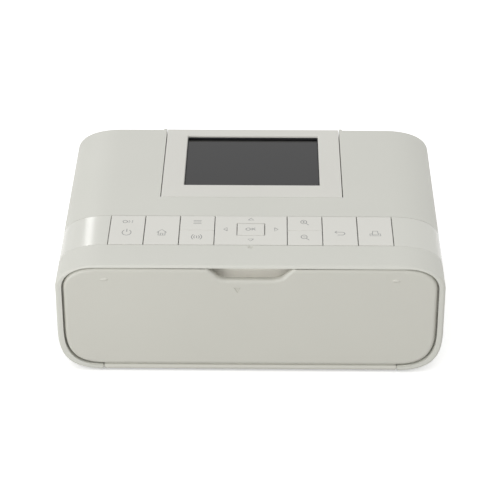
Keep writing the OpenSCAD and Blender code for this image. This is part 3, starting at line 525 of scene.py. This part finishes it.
def stripEnds(name, inside, outside, grow, end):
    # The blank ends of the key row: a skin of the hull that wraps over both shoulders
    k, c = keyRow, casing
    piece = casingHull(name)
    choose(piece, "FACE", lambda p, n: abs(n.y) > 0.9)
    bpy.ops.mesh.delete(type="FACE")
    slope = radians(c["slope"])
    along = Vector((0, cos(slope), sin(slope)))
    for place, side in ((k["back"] + grow, 1), (k["front"] - grow, -1)):
        choose(piece, "FACE", lambda p, n: True)
        bpy.ops.mesh.bisect(plane_co=Vector((0, 0, deckHeight / 1000)) + along * place / 1000,
                            plane_no=along * side, clear_outer=True)
    choose(piece, "FACE", lambda p, n: True)
    bpy.ops.mesh.bisect(plane_co=(0, 0, (k["stripLow"] - grow) / 1000), plane_no=(0, 0, -1),
                        clear_outer=True)
    for side in (-1, 1):
        choose(piece, "FACE", lambda p, n: True)
        bpy.ops.mesh.bisect(plane_co=(side * end / 1000, 0, 0), plane_no=(1, 0, 0))
    choose(piece, "FACE", lambda p, n: abs(p.x) < end)
    bpy.ops.mesh.delete(type="FACE")
    leaveEdit()
    applyModifier(piece, "SOLIDIFY", thickness=(inside + outside) / 1000,
                  offset=(outside - inside) / (outside + inside), use_even_offset=True)
    return piece


def bothSides(name, x0, x1, place, radius, sides=24):       # a pair of rods along X, mirrored
    return merge(addRod(name, (x0, *place), "X", x1 - x0, radius, sides),
                 addRod(name, (-x1, *place), "X", x1 - x0, radius, sides))


def addBall(name, place, radius, squash=(1, 1, 1)):
    bpy.ops.object.select_all(action="DESELECT")
    bpy.ops.mesh.primitive_uv_sphere_add(segments=24, ring_count=12, radius=radius / 1000,
                                         location=[v / 1000 for v in place])
    bpy.context.object.scale = squash
    return settle(bpy.context.object, name)


def screenWell(half, front):         # the tray below the tilting screen
    side, (low, thick) = casing["wellSide"], casing["well"]
    well = layOnDeck(addBlock("well", (-half - side, front - 1.7, low - thick),
                              (half + side, casing["backY"] - 0.3, -0.25)))
    carve(well, layOnDeck(addBlock("cut", (-half, front, low), (half, 100, 9))))
    return well


def screwPosts():                   # four posts under the roof, for the screws from below
    c, posts = casing, []
    for side in (-1, 1):
        for y in c["postY"]:
            roof = deckHeight + y * tan(radians(c["slope"])) - 1
            posts.append(addRod("post", (side * c["postX"], y, c["postLow"]), "Z", roof - c["postLow"],
                                c["post"], 24))
    return merge(*posts)


def fanVents():                     # upright slots in the left wall
    c, vents = casing, []
    (y, z), (wide, high) = c["ventMiddle"], c["ventSize"]
    for i in range(c["vents"]):
        middle = y + c["ventPitch"] * (i - (c["vents"] - 1) / 2)
        vents.append(addBlock("cut", (-92, middle - wide / 2, z - high / 2),
                              (-86, middle + wide / 2, z + high / 2)))
    return merge(*vents)


def pinAndScrewHoles():             # for both doors' hinges, the screen's hinge and the screws
    c, s, d, q = casing, screen, door, sideDoor
    holes = [bothSides("cut", c["seamX"] - 1, 72.2, (d["hingeY"], d["hingeZ"]), d["pin"] + c["pinPlay"]),
             layOnDeck(bothSides("cut", s["half"], s["half"] + 1.6, s["axis"], s["pin"] + c["pinPlay"])),
             addRod("cut", (q["hinge"][0], q["y"][0] - 1.6, q["hinge"][1]), "Y",
                    q["y"][1] - q["y"][0] + 3.2, q["pin"] + c["pinPlay"], 24)]
    return holes + [addRod("cut", (side * c["postX"], y, -1), "Z", 18, c["pilot"], 24)
                    for side in (-1, 1) for y in c["postY"]]


def makeTopCover():
    c, s, k, d, q = casing, screen, keyRow, door, sideDoor
    cover = casingHull("top_shell")
    rollRim(cover, c["frontY"], c["frontRoll"])
    rollRim(cover, c["backY"], c["backRoll"])
    far, front = 100, c["frontY"]
    inside = casingHull("cut", c["wall"], 5)
    rim = front + d["thick"] + 0.6  # the wall is thicker in front of this, round the door
    carve(inside, addBlock("rim", (-far, -far, -far), (far, rim, far)))
    carve(cover, inside)
    wellHalf, wellFront = s["half"] + c["wellGap"], s["front"] - 0.3
    carve(cover, layOnDeck(addBlock("cut", (-wellHalf, wellFront, -9), (wellHalf, far, 9))))
    carve(cover, screenWell(wellHalf, wellFront), "UNION")
    carve(cover, screwPosts(), "UNION")
    rowHalf = k["end"] + 1.6
    carve(cover, layOnDeck(addBlock("cut", (-rowHalf, k["front"] - 0.1, -4), (rowHalf, k["back"] + 0.1, 9))))
    carve(cover, stripEnds("cut", k["stripThick"] + 0.05, 1, 0.12, k["end"] + 0.8))
    carve(cover, addBlock("cut", (-c["seamX"], -far, -1), (c["seamX"], far, 3.5)))
    carve(cover, addBlock("cut", (-c["seamX"], -far, -1), (c["seamX"], rim + 0.05, d["low"])))
    carve(cover, doorSlab("cut", c["gap"], front - 1, rim + 0.05))
    wider, deep, side, high = c["relief"]
    relief = doorSlab("cut", c["gap"] + wider, front - 1, front + deep)
    carve(relief, addBlock("cut", (-side, -far, -far), (side, far, high)), "INTERSECT")
    carve(cover, relief)
    for port in c["ports"]:
        carve(cover, addBlock("cut", *port))
    carve(cover, addBlock("cut", (86, q["y"][0] - q["gap"], q["z"][0] - q["gap"]),
                          (92, q["y"][1] + q["gap"], q["z"][1] + q["gap"])))
    carve(cover, layOnDeck(addBall("cut", (0, k["front"] - 1.7, 0.5), 1.5)))  # touch mark for the thumb
    carve(cover, fanVents())
    for hole in pinAndScrewHoles():
        carve(cover, hole)
    nubs = [addBall("nub", (side * (c["seamX"] + 0.9), d["hingeY"], c["bottom"] + 0.2), c["nub"])
            for side in (-1, 1)]
    carve(cover, merge(*nubs), "UNION")
    softenEdges(cover, c["edge"], 3)
    return put(cover, "root", "shell_white", "top_cover")


def makeFeet():                     # turned from a disc: rounded rim and a shallow dish below
    feet = []
    for x, y in casing["feet"]:
        foot = addRod("foot", (x, y, 0), "Z", casing["bottom"], casing["footRadius"], 40)
        choose(foot, "FACE", lambda c, n: n.z < -0.9)
        bpy.ops.mesh.inset(thickness=casing["footRim"] / 1000)
        bpy.ops.transform.translate(value=(0, 0, casing["footDish"] / 1000))
        leaveEdit()
        feet.append(foot)
    feet = merge(*feet)
    softenEdges(feet, 0.25, 3)
    feet.name = feet.data.name = "foot_pads"
    return put(feet, "root", "rubber", "rubber_feet")


coverCopies = {                     # CAD piece: new name, edge in mm, and at times its steps, angle, finish
    "base_cover": ("base_shell", 0.3),
    # this panel's finish is paler than the casing: painted light for the shade inside the door's notch
    "front_frame": ("slot_panel", 0.3, 2, 30, palePanelPaintedLight),
    "bay_frame": ("paper_bay", 0.3),
    "case_screws": ("cross_screws", 0.1),
    "eject_lever": ("release_lever", 0.3),
    "fan_frame": ("fan_ring", 0.25),
    "fan_rotor": ("fan_wheel", 0.12),
    "dc_socket": ("power_jack", 0.2),
    "usb_socket": ("usb_port", 0.1),
    "card_socket": ("card_slot", 0.1),
    "screen_back": ("screen_cover", 0.35),
    "lcd_module": ("display_panel", 0.15),
    "ink_cassette": ("ribbon_holder", 0.25),
    "paper_guide": ("paper_ramp", 0.15),
    "drive_motor": ("motor_can", 0.3),
    "platen_tyre": ("platen_sleeve", 0.3),
    "pickup_tyres": ("pickup_sleeves", 0.4),
    "pinch_roller": ("pinch_sleeve", 0.3),
    "head_sink": ("finned_sink", 0.12),
}


backPanel = {                       # with the paper's slot and the power jack
    "inset": 2.2, "y": (65.55, 67.35), "slot": (53, 27.4, 32.8), "slotCorner": 1.2,
    "jack": (-78.3, 19.5, 4.6),     # place and radius of the power jack's hole
    "ventPitch": 3.6, "ventWide": 2,
    "ventRows": ((50, 9, 38, 48), (-20, 12, 12, 22)),       # first X, how many, low and high edge
}


def makeBackPanel():                # slot for the paper, hole for the power jack, two rows of vents
    b, c, s = backPanel, casing, screen
    panel = casingHull("back_panel", b["inset"], 5)
    low, high = b["y"]
    carve(panel, addBlock("cut", (-100, -100, -9), (100, low, 99)))
    carve(panel, addBlock("cut", (-100, high, -9), (100, 100, 99)))
    half = s["half"] + c["gap"] + 1.8
    carve(panel, layOnDeck(addBlock("cut", (-half, 0, c["well"][0] - c["well"][1] - 0.2), (half, 99, 30))))
    half, z0, z1 = b["slot"]
    slot = addBlock("cut", (-half, 60, z0), (half, 75, z1))
    choose(slot, "EDGE", lambda a, b: abs(a.y - b.y) > 1)
    bpy.ops.mesh.bevel(offset=backPanel["slotCorner"] / 1000, segments=5, affect="EDGES")
    leaveEdit()
    carve(panel, slot)
    x, z, radius = b["jack"]
    carve(panel, addRod("cut", (x, 60, z), "Y", 15, radius, 40))
    vents = []
    for x0, count, low, high in b["ventRows"]:
        for x in [x0 + b["ventPitch"] * i for i in range(count)]:
            vents.append(addBlock("cut", (x, 60, low), (x + b["ventWide"], 75, high)))
    carve(panel, merge(*vents))
    softenEdges(panel, 0.3, 2)
    return put(panel, "root", "shell_white", "rear_cover")


door = {                            # mm, drawn as seen from the front, with heights above the desk
    "half": 86.4, "top": 55.3, "low": 4.2, "thick": 3, "waist": 36,
    "topCorner": (15.5, 11), "lowCorner": (20.5, 20.5), "edge": 1.9,
    "slim": 0.2,                    # the gap is this much wider at both sides
    "notchTop": 21.2, "notchLow": 12.8, "notchZ": 49.6, "notchCorner": 2.6, "notchLip": 1.8,
    "hingeY": -66.3, "hingeZ": 2.4, "barrel": 1.3, "barrelHalf": 68.45, "pin": 0.7, "pinEnd": 72,
    "tick": (67, 49.7, 2.2, 0.45),  # raised mark near each upper corner: place, half width, height above
    "arrow": (-5.9, 44.8, 1.75, 0.4),                       # engraved triangle: place, size and depth
}


def makeDoor():
    d, front = door, casing["frontY"]
    leaf = doorSlab("door_leaf", 0, front, front + d["thick"])
    choose(leaf, "VERT", lambda p: True)
    bpy.ops.transform.resize(value=(1 - d["slim"] / d["half"], 1, 1), center_override=(0, 0, 0))
    leaveEdit()
    notch = addBlock("cut", (-d["notchTop"], front - 5, d["notchZ"]), (d["notchTop"], front + 8, d["top"]))
    choose(notch, "VERT", lambda p: p.z < d["notchZ"] + 1)
    bpy.ops.transform.resize(value=(d["notchLow"] / d["notchTop"], 1, 1), center_override=(0, 0, 0))
    choose(notch, "EDGE", lambda a, b: abs(a.y - b.y) > 1 and a.z < d["notchZ"] + 1)
    bpy.ops.mesh.bevel(offset=d["notchCorner"] / 1000, segments=6, affect="EDGES")
    choose(notch, "FACE", lambda c, n: n.z > 0.9)
    bpy.ops.transform.translate(value=(0, 0, 0.002))
    leaveEdit()
    carve(leaf, notch)
    atFront = lambda a, b: a.y < front + 0.01 and b.y < front + 0.01
    inNotch = lambda a, b: (abs((a + b).x) < 2 * d["notchTop"] + 0.1
                            and 2 * d["notchZ"] - 0.2 < (a + b).z < 2 * d["top"] - 0.2)
    choose(leaf, "EDGE", lambda a, b: atFront(a, b) and inNotch(a, b))
    bpy.ops.mesh.bevel(offset=d["notchLip"] / 1000, segments=4, affect="EDGES")
    leaveEdit()
    topOrSide = lambda a, b: abs(a.x) > d["notchTop"] and abs(b.x) > d["notchTop"] or (a + b).z < 90
    choose(leaf, "EDGE", lambda a, b: atFront(a, b) and topOrSide(a, b))
    bpy.ops.mesh.bevel(offset=d["edge"] / 1000, segments=6, affect="EDGES")
    leaveEdit()
    web = addBlock("web", (-d["barrelHalf"], d["hingeY"], d["hingeZ"]),
                   (d["barrelHalf"], front + d["thick"], d["low"] + 1))
    carve(leaf, web, "UNION")
    carve(leaf, addRod("barrel", (-d["barrelHalf"], d["hingeY"], d["hingeZ"]), "X",
                       2 * d["barrelHalf"], d["barrel"]), "UNION")
    carve(leaf, addRod("pin", (-d["pinEnd"], d["hingeY"], d["hingeZ"]), "X", 2 * d["pinEnd"], d["pin"],
                       24), "UNION")
    tickX, tickZ, wide, proud = d["tick"]
    for side in (-1, 1):
        tick = addBall("tick", (side * tickX, front + 0.4 * wide - proud, tickZ), wide, (1, 0.4, 0.4))
        carve(leaf, tick, "UNION")
        carve(leaf, addBall("nub", (side * (d["barrelHalf"] - 0.6), d["hingeY"], 1.4), 0.6), "UNION")
    x, z, size, deep = d["arrow"]
    bpy.ops.object.select_all(action="DESELECT")
    bpy.ops.mesh.primitive_cylinder_add(vertices=3, radius=size / 1000, depth=deep / 500,
                                        location=(x / 1000, front / 1000, z / 1000), rotation=(pi / 2, 0, 0))
    arrow = settle(bpy.context.object, "cut")
    low = min(corner.co.z for corner in arrow.data.vertices) * 1000
    if low > z - size * 0.9:        # its point goes down, to show which way the door falls
        choose(arrow, "VERT", lambda p: True)
        bpy.ops.transform.resize(value=(1, 1, -1), center_override=(0, 0, z / 1000))
        bpy.ops.mesh.normals_make_consistent(inside=False)
        leaveEdit()
    carve(leaf, arrow)
    softenEdges(leaf, 0.18, 2)
    return put(leaf, "front_door", "door_white", "front_door")


screen = {                          # mm along the sloping deck, and heights from it
    "half": 44, "front": -4.3, "back": 67.55, "low": -6.2, "window": (66.6, 51.8), "middle": 33.9,
    "skin": 2, "side": 1.6, "axis": (-3.3, -1), "pin": 0.6, "glass": 1, "overlap": 2,
    "frontRoll": 1, "backRoll": 1.7, "frontWall": 3.4, "backWall": 1.8,
    "windowCorner": 0.4, "windowRim": 0.6, "pinHole": (38, 44.5),
    "shadeLiner": (0.35, -1.1),         # thickness of the black liner in the window, and its top: partly a real gasket, partly painted shade for the shadowed walls of the window
}


def makeScreenFrame():
    s = screen
    frameBox = addBlock("screen_bezel", (-s["half"], s["front"], s["low"]), (s["half"], s["back"], 0))
    for side, radius in ((-1, s["frontRoll"]), (1, s["backRoll"])):
        choose(frameBox, "EDGE", lambda a, b: abs(a.x - b.x) > 1 and (a + b).z > -0.1
               and (a.y - s["middle"]) * side > 20)
        bpy.ops.mesh.bevel(offset=radius / 1000, segments=6, affect="EDGES")
        leaveEdit()
    inner = addBlock("cut", (-s["half"] + s["side"], s["front"] + s["frontWall"], -20),
                     (s["half"] - s["side"], s["back"] - s["backWall"], -s["skin"]))
    carve(frameBox, inner)
    wide, high = s["window"]
    window = addBlock("cut", (-wide / 2, s["middle"] - high / 2, -9), (wide / 2, s["middle"] + high / 2, 9))
    choose(window, "EDGE", lambda a, b: abs(a.z - b.z) > 1)
    bpy.ops.mesh.bevel(offset=s["windowCorner"] / 1000, segments=3, affect="EDGES")
    leaveEdit()
    carve(frameBox, window)
    onRim = lambda p: (abs(p.z) < 0.01 and abs(p.x) < wide / 2 + 0.1
                       and abs(p.y - s["middle"]) < high / 2 + 0.1)
    choose(frameBox, "EDGE", lambda a, b: onRim(a) and onRim(b))
    bpy.ops.mesh.bevel(offset=s["windowRim"] / 1000, segments=3, affect="EDGES")
    leaveEdit()
    carve(frameBox, bothSides("cut", *s["pinHole"], s["axis"], s["pin"]))
    softenEdges(layOnDeck(frameBox), 0.2, 2)
    return put(frameBox, "screen", "shell_white", "screen_frame", coat=bezelWhite)


def makeWindow():                   # clear cover over the display, and the black liner round its edge: partly a real gasket, partly painted shade for the shadowed walls of the window
    s = screen
    wide, high = s["window"]
    more = s["overlap"]
    glass = addBlock("display_window",
                     (-wide / 2 - more, s["middle"] - high / 2 - more, -s["skin"] - s["glass"]),
                     (wide / 2 + more, s["middle"] + high / 2 + more, -s["skin"]))
    softenEdges(layOnDeck(glass), 0.12, 2)
    put(glass, "screen", "screen_glass", "screen_window")
    thick, top = s["shadeLiner"]
    # black rubber on the window's walls: partly a gasket, partly painted shade where the walls lie in shadow
    paintedShadeLiner = addBlock("display_liner_painted_shade", (-wide / 2, s["middle"] - high / 2, -s["skin"]),
                     (wide / 2, s["middle"] + high / 2, top))
    carve(paintedShadeLiner, addBlock("cut", (-wide / 2 + thick, s["middle"] - high / 2 + thick, -9),
                          (wide / 2 - thick, s["middle"] + high / 2 - thick, 9)))
    softenEdges(layOnDeck(paintedShadeLiner), 0.08, 2)
    put(paintedShadeLiner, "screen", "rubber")


keyRow = {                          # mm along the sloping deck, and heights from it
    "back": -22.7, "front": -49.5, "pitch": 16.5, "padHalf": 17.1, "gap": 0.42, "top": 0.15,
    "low": -1.45, "stemLow": -3.1, "plate": (-3.45, -2.45), "okSize": (12.7, 10.5), "okMiddle": -35.2,
    "stripThick": 1.2, "stripLow": 45, "rib": 0.5, "ribHalf": 7, "padRibHalf": 4, "rocker": 7,
    "padStem": 12.3, "stemInset": 3.2, "stem": 1.6, "stemHole": 2.1, "endGap": 0.25, "okRim": 0.34,
    "line": 0.3, "lineDeep": 0.2,   # across the rocking keys
    "plateHalf": 74, "plateMore": 3, "postX": 71, "postInset": 2, "post": 2.2,
    "end": 66.6,                    # where the blank ends start
    "postLow": -5,                  # foot of the posts under the plate
}


def keyEnds(i, side):               # ends along X of the i-th tile beside the direction pad
    middle = side * (keyRow["padHalf"] + keyRow["pitch"] * (i + 0.5))
    return middle - keyRow["pitch"] / 2, middle + keyRow["pitch"] / 2


keyPlan = {                         # ends of each key along X, and how it moves
    "power_key": (*keyEnds(2, -1), "press"),
    "home_key": (*keyEnds(1, -1), "press"),
    "menu_key": (*keyEnds(0, -1), "rock"),
    "zoom_key": (*keyEnds(0, 1), "rock"),
    "back_key": (*keyEnds(1, 1), "press"),
    "print_key": (*keyEnds(2, 1), "press"),
    "direction_key": (-keyRow["padHalf"], keyRow["padHalf"], "pad"),
}
rowMiddle = (keyRow["front"] + keyRow["back"]) / 2


def stemPlaces(x0, x1, action):
    k, x = keyRow, (x0 + x1) / 2
    if action == "press":
        return [(x, rowMiddle)]
    if action == "rock":
        return [(x, rowMiddle - k["rocker"]), (x, rowMiddle + k["rocker"])]
    sides = [(-k["padStem"], rowMiddle), (k["padStem"], rowMiddle)]
    return sides + [(0, k["back"] - k["stemInset"]), (0, k["front"] + k["stemInset"])]


def addStem(key, place):
    k = keyRow
    carve(key, addRod("stem", (*place, k["stemLow"]), "Z", k["low"] - k["stemLow"] + 0.1,
                      k["stem"], 24), "UNION")


def addRib(key, x, half):           # round rib under a rocking key, on which it rolls
    carve(key, addRod("rib", (x - half, rowMiddle, keyRow["low"]), "X", 2 * half, keyRow["rib"], 24), "UNION")


def makeKey(name, x0, x1, action):
    k = keyRow
    key = addBlock(name + "_cap", (x0 + k["gap"] / 2, k["front"] + k["endGap"], k["low"]),
                   (x1 - k["gap"] / 2, k["back"] - k["endGap"], k["top"]))
    x = (x0 + x1) / 2
    if action == "rock":            # thin line across the middle
        carve(key, addBlock("cut", (x0 - 1, rowMiddle - k["line"] / 2, k["top"] - k["lineDeep"]),
                            (x1 + 1, rowMiddle + k["line"] / 2, 5)))
        addRib(key, x, k["ribHalf"])
    if action == "pad":
        wide, high = (v / 2 + k["okRim"] for v in k["okSize"])
        carve(key, addBlock("cut", (-wide, k["okMiddle"] - high, -9), (wide, k["okMiddle"] + high, 9)))
        for side in (-1, 1):
            addRib(key, side * k["padStem"], k["padRibHalf"])
    for place in stemPlaces(x0, x1, action):
        addStem(key, place)
    softenEdges(layOnDeck(key), 0.22, 3)
    return put(key, name, "key_white", name, coat=capWhite)


def makeOkKey():
    k = keyRow
    wide, high = k["okSize"]
    key = addBlock("ok_key_cap", (-wide / 2, k["okMiddle"] - high / 2, k["low"]),
                   (wide / 2, k["okMiddle"] + high / 2, k["top"] + 0.1))
    addStem(key, (0, k["okMiddle"]))
    softenEdges(layOnDeck(key), 0.3, 3)
    return put(key, "ok_key", "key_white", "ok_key", coat=capWhite)


def makeControlStrip():
    k = keyRow
    ends = stripEnds("key_strip", k["stripThick"], 0.0001, 0, k["end"] + 0.15)
    softenEdges(ends, 0.12, 2)
    half, more, (low, high) = k["plateHalf"], k["plateMore"], k["plate"]
    plate = addBlock("plate", (-half, k["front"] - more, low), (half, k["back"] + more, high))
    holes = [place for plan in keyPlan.values() for place in stemPlaces(*plan)] + [(0, k["okMiddle"])]
    carve(plate, merge(*[addRod("cut", (*place, -6), "Z", 8, k["stemHole"], 24) for place in holes]))
    softenEdges(plate, 0.15, 2)
    posts = [addRod("post", (x, y, k["postLow"]), "Z", high - 0.5 - k["postLow"], k["post"], 24)
             for x in (-k["postX"], k["postX"])
             for y in (k["front"] + k["postInset"], k["back"] - k["postInset"])]
    strip = merge(ends, layOnDeck(merge(plate, *posts)))
    return put(strip, "root", "key_white", "control_strip")


marks = {                           # printed on the keys
    "stroke": 0.36, "flat": 0.12,   # width of a printed line, and how far its round section is flattened
    "tall": 1.2,                    # all signs are stretched along the deck, as they are read from the front
    "high": -28.6, "icon": -38.6, "low": -42.4,             # rows along the deck
    "arrows": (11.9, -25.8, -44.9),                         # to the sides, behind and in front of the OK key
}


def arcPoints(radius, start, end, steps=14, wide=1.0):
    turns = [radians(start + (end - start) * i / steps) for i in range(steps + 1)]
    return [(radius * wide * cos(t), radius * sin(t)) for t in turns]


powerSign = [arcPoints(2.1, 125, 415), [(0, 0.5), (0, 2.7)]]
houseSign = [[(-2.3, 0.1), (0, 2.4), (2.3, 0.1)], [(-1.6, 0.8), (-1.6, -2), (1.6, -2), (1.6, 0.8)],
             [(-0.6, -2), (-0.6, -0.5), (0.6, -0.5), (0.6, -2)]]
listSign = [[(-1.9, y), (1.9, y)] for y in (-1.1, 0, 1.1)]
wavesSign = [[(0, -0.9), (0, 0.9)], arcPoints(1.3, 125, 235, 8), arcPoints(2.4, 130, 230, 8),
             arcPoints(1.3, -55, 55, 8), arcPoints(2.4, -50, 50, 8)]
lensSign = [[(x - 0.4, y + 0.4) for x, y in arcPoints(1.4, 0, 360, 18)], [(0.6, -0.6), (2.0, -2.0)],
            [(-1.1, 0.4), (0.3, 0.4)]]
plusSign = [[(-0.4, -0.3), (-0.4, 1.1)]]
returnSign = [[(-2.4, 1.0), (1.2, 1.0), (2.0, 0.6), (2.3, -0.1), (2.0, -0.8), (1.2, -1.2), (-1.2, -1.2)],
              [(-1.4, 1.9), (-2.4, 1.0), (-1.4, 0.1)]]
sheetSign = [[(-1.5, -0.2), (-2.5, -0.2), (-2.5, -1.7), (2.5, -1.7), (2.5, -0.2), (1.5, -0.2)],
             [(-1.5, -0.9), (-1.1, 1.9), (1.1, 1.9), (1.5, -0.9), (-1.5, -0.9)]]
letterO = [[(x - 1.3, y) for x, y in arcPoints(0.95, 0, 360, 18, 1.1)]]
wordOn = letterO + [[(0.55, -0.95), (0.55, 0.95), (2.2, -0.95), (2.2, 0.95)]]
wordOk = letterO + [[(0.55, -0.95), (0.55, 0.95)], [(2.1, 0.95), (0.55, -0.1)], [(1.05, 0.25), (2.15, -0.95)]]
arrowHead = [(-1.3, -0.7), (1.3, -0.7), (0, 0.9), (-1.3, -0.7)]


def turned(points, quarter):        # an arrow head in one of four directions
    for _ in range(quarter):
        points = [(-y, x) for x, y in points]
    return points


def printMark(name, key, height, signs):
    # Flat lines of ink on the key's top: signs are (x, y, lines) in the deck's coordinates
    drawing = bpy.data.curves.new(name, "CURVE")
    drawing.dimensions = "3D"
    drawing.bevel_depth = marks["stroke"] / 2000
    drawing.bevel_resolution = 1
    drawing.use_fill_caps = True
    for x, y, lines in signs:
        for points in lines:
            line = drawing.splines.new("POLY")
            line.points.add(len(points) - 1)
            for spot, (dx, dy) in zip(line.points, points):
                spot.co = ((x + dx) / 1000, (y + dy * marks["tall"]) / 1000, 0, 1)
    mark = bpy.data.objects.new(name, drawing)
    bpy.context.scene.collection.objects.link(mark)
    pickOnly(mark)
    bpy.ops.object.convert(target="MESH")
    mark = bpy.context.object
    mark.scale = (1, 1, marks["flat"])
    mark.location = (0, 0, height / 1000)
    settle(mark, name)
    bpy.ops.object.shade_flat()
    return put(layOnDeck(mark), key, "dark_plastic", coat=printInk)


def printKeys():
    m, top = marks, keyRow["top"]
    place = {name: (plan[0] + plan[1]) / 2 for name, plan in keyPlan.items()}
    (arm, behind, before), middle = m["arrows"], keyRow["okMiddle"]
    plan = (
        ("power_mark", "power_key", (m["high"], wordOn), (m["icon"], powerSign)),
        ("home_mark", "home_key", (m["icon"], houseSign)),
        ("menu_mark", "menu_key", (m["high"], listSign), (m["low"], wavesSign)),
        ("zoom_mark", "zoom_key", (m["high"], lensSign + plusSign), (m["low"], lensSign)),
        ("back_mark", "back_key", (m["icon"], returnSign)),
        ("print_mark", "print_key", (m["icon"], sheetSign)),
    )
    for name, key, *signs in plan:
        printMark(name, key, top, [(place[key], row, lines) for row, lines in signs])
    printMark("direction_mark", "direction_key", top, [
        (0, behind, [turned(arrowHead, 0)]), (-arm, middle, [turned(arrowHead, 1)]),
        (0, before, [turned(arrowHead, 2)]), (arm, middle, [turned(arrowHead, 3)])])
    printMark("ok_mark", "ok_key", top + 0.1, [(0, middle, wordOk)])


sideDoor = {                        # over the ribbon, on the right side
    "x": (88.15, 89.95), "y": (-5.5, 62), "z": (22.6, 49.4), "gap": 0.35, "hinge": (89.1, 23.5),
    "barrel": 0.85, "pin": 0.6, "pinOut": 1.4, "rim": 0.5,
    "catch": (26, 34), "catchIn": 3.4, "catchDrop": (3.6, 2),   # its ends, depth, and place below the top
}


def makeSideDoor():
    q = sideDoor
    middle = sum(q["x"]) / 2
    leaf = addBlock("side_door", (q["x"][0], q["y"][0], q["hinge"][1]), (q["x"][1], q["y"][1], q["z"][1]))
    choose(leaf, "EDGE", lambda a, b: a.x > q["x"][1] - 0.01 and b.x > q["x"][1] - 0.01
           and a.z + b.z > 2 * q["hinge"][1] + 1)
    bpy.ops.mesh.bevel(offset=q["rim"] / 1000, segments=3, affect="EDGES")
    leaveEdit()
    low, high = (q["z"][1] - drop for drop in q["catchDrop"])
    catch = addBlock("catch", (middle - q["catchIn"], q["catch"][0], low), (middle, q["catch"][1], high))
    carve(leaf, catch, "UNION")
    length = q["y"][1] - q["y"][0]
    x, z = q["hinge"]
    carve(leaf, addRod("barrel", (x, q["y"][0], z), "Y", length, q["barrel"], 32), "UNION")
    carve(leaf, addRod("pin", (x, q["y"][0] - q["pinOut"], z), "Y", length + 2 * q["pinOut"], q["pin"], 24),
          "UNION")
    softenEdges(leaf, 0.15, 2)
    return put(leaf, "ink_door", "shell_white", "ink_door")


makeTopCover()
makeFeet()
makeBackPanel()
for node, plan in coverCopies.items():
    softCopy(node, *plan)
print("casing is modelled")

makeDoor()
print("front door is modelled")

makeScreenFrame()
makeWindow()
print("screen is modelled")

for name, plan in keyPlan.items():
    makeKey(name, *plan)
makeOkKey()
makeControlStrip()
print("keys are modelled")

printKeys()
print("marks are printed")

makeSideDoor()
print("ribbon door is modelled")
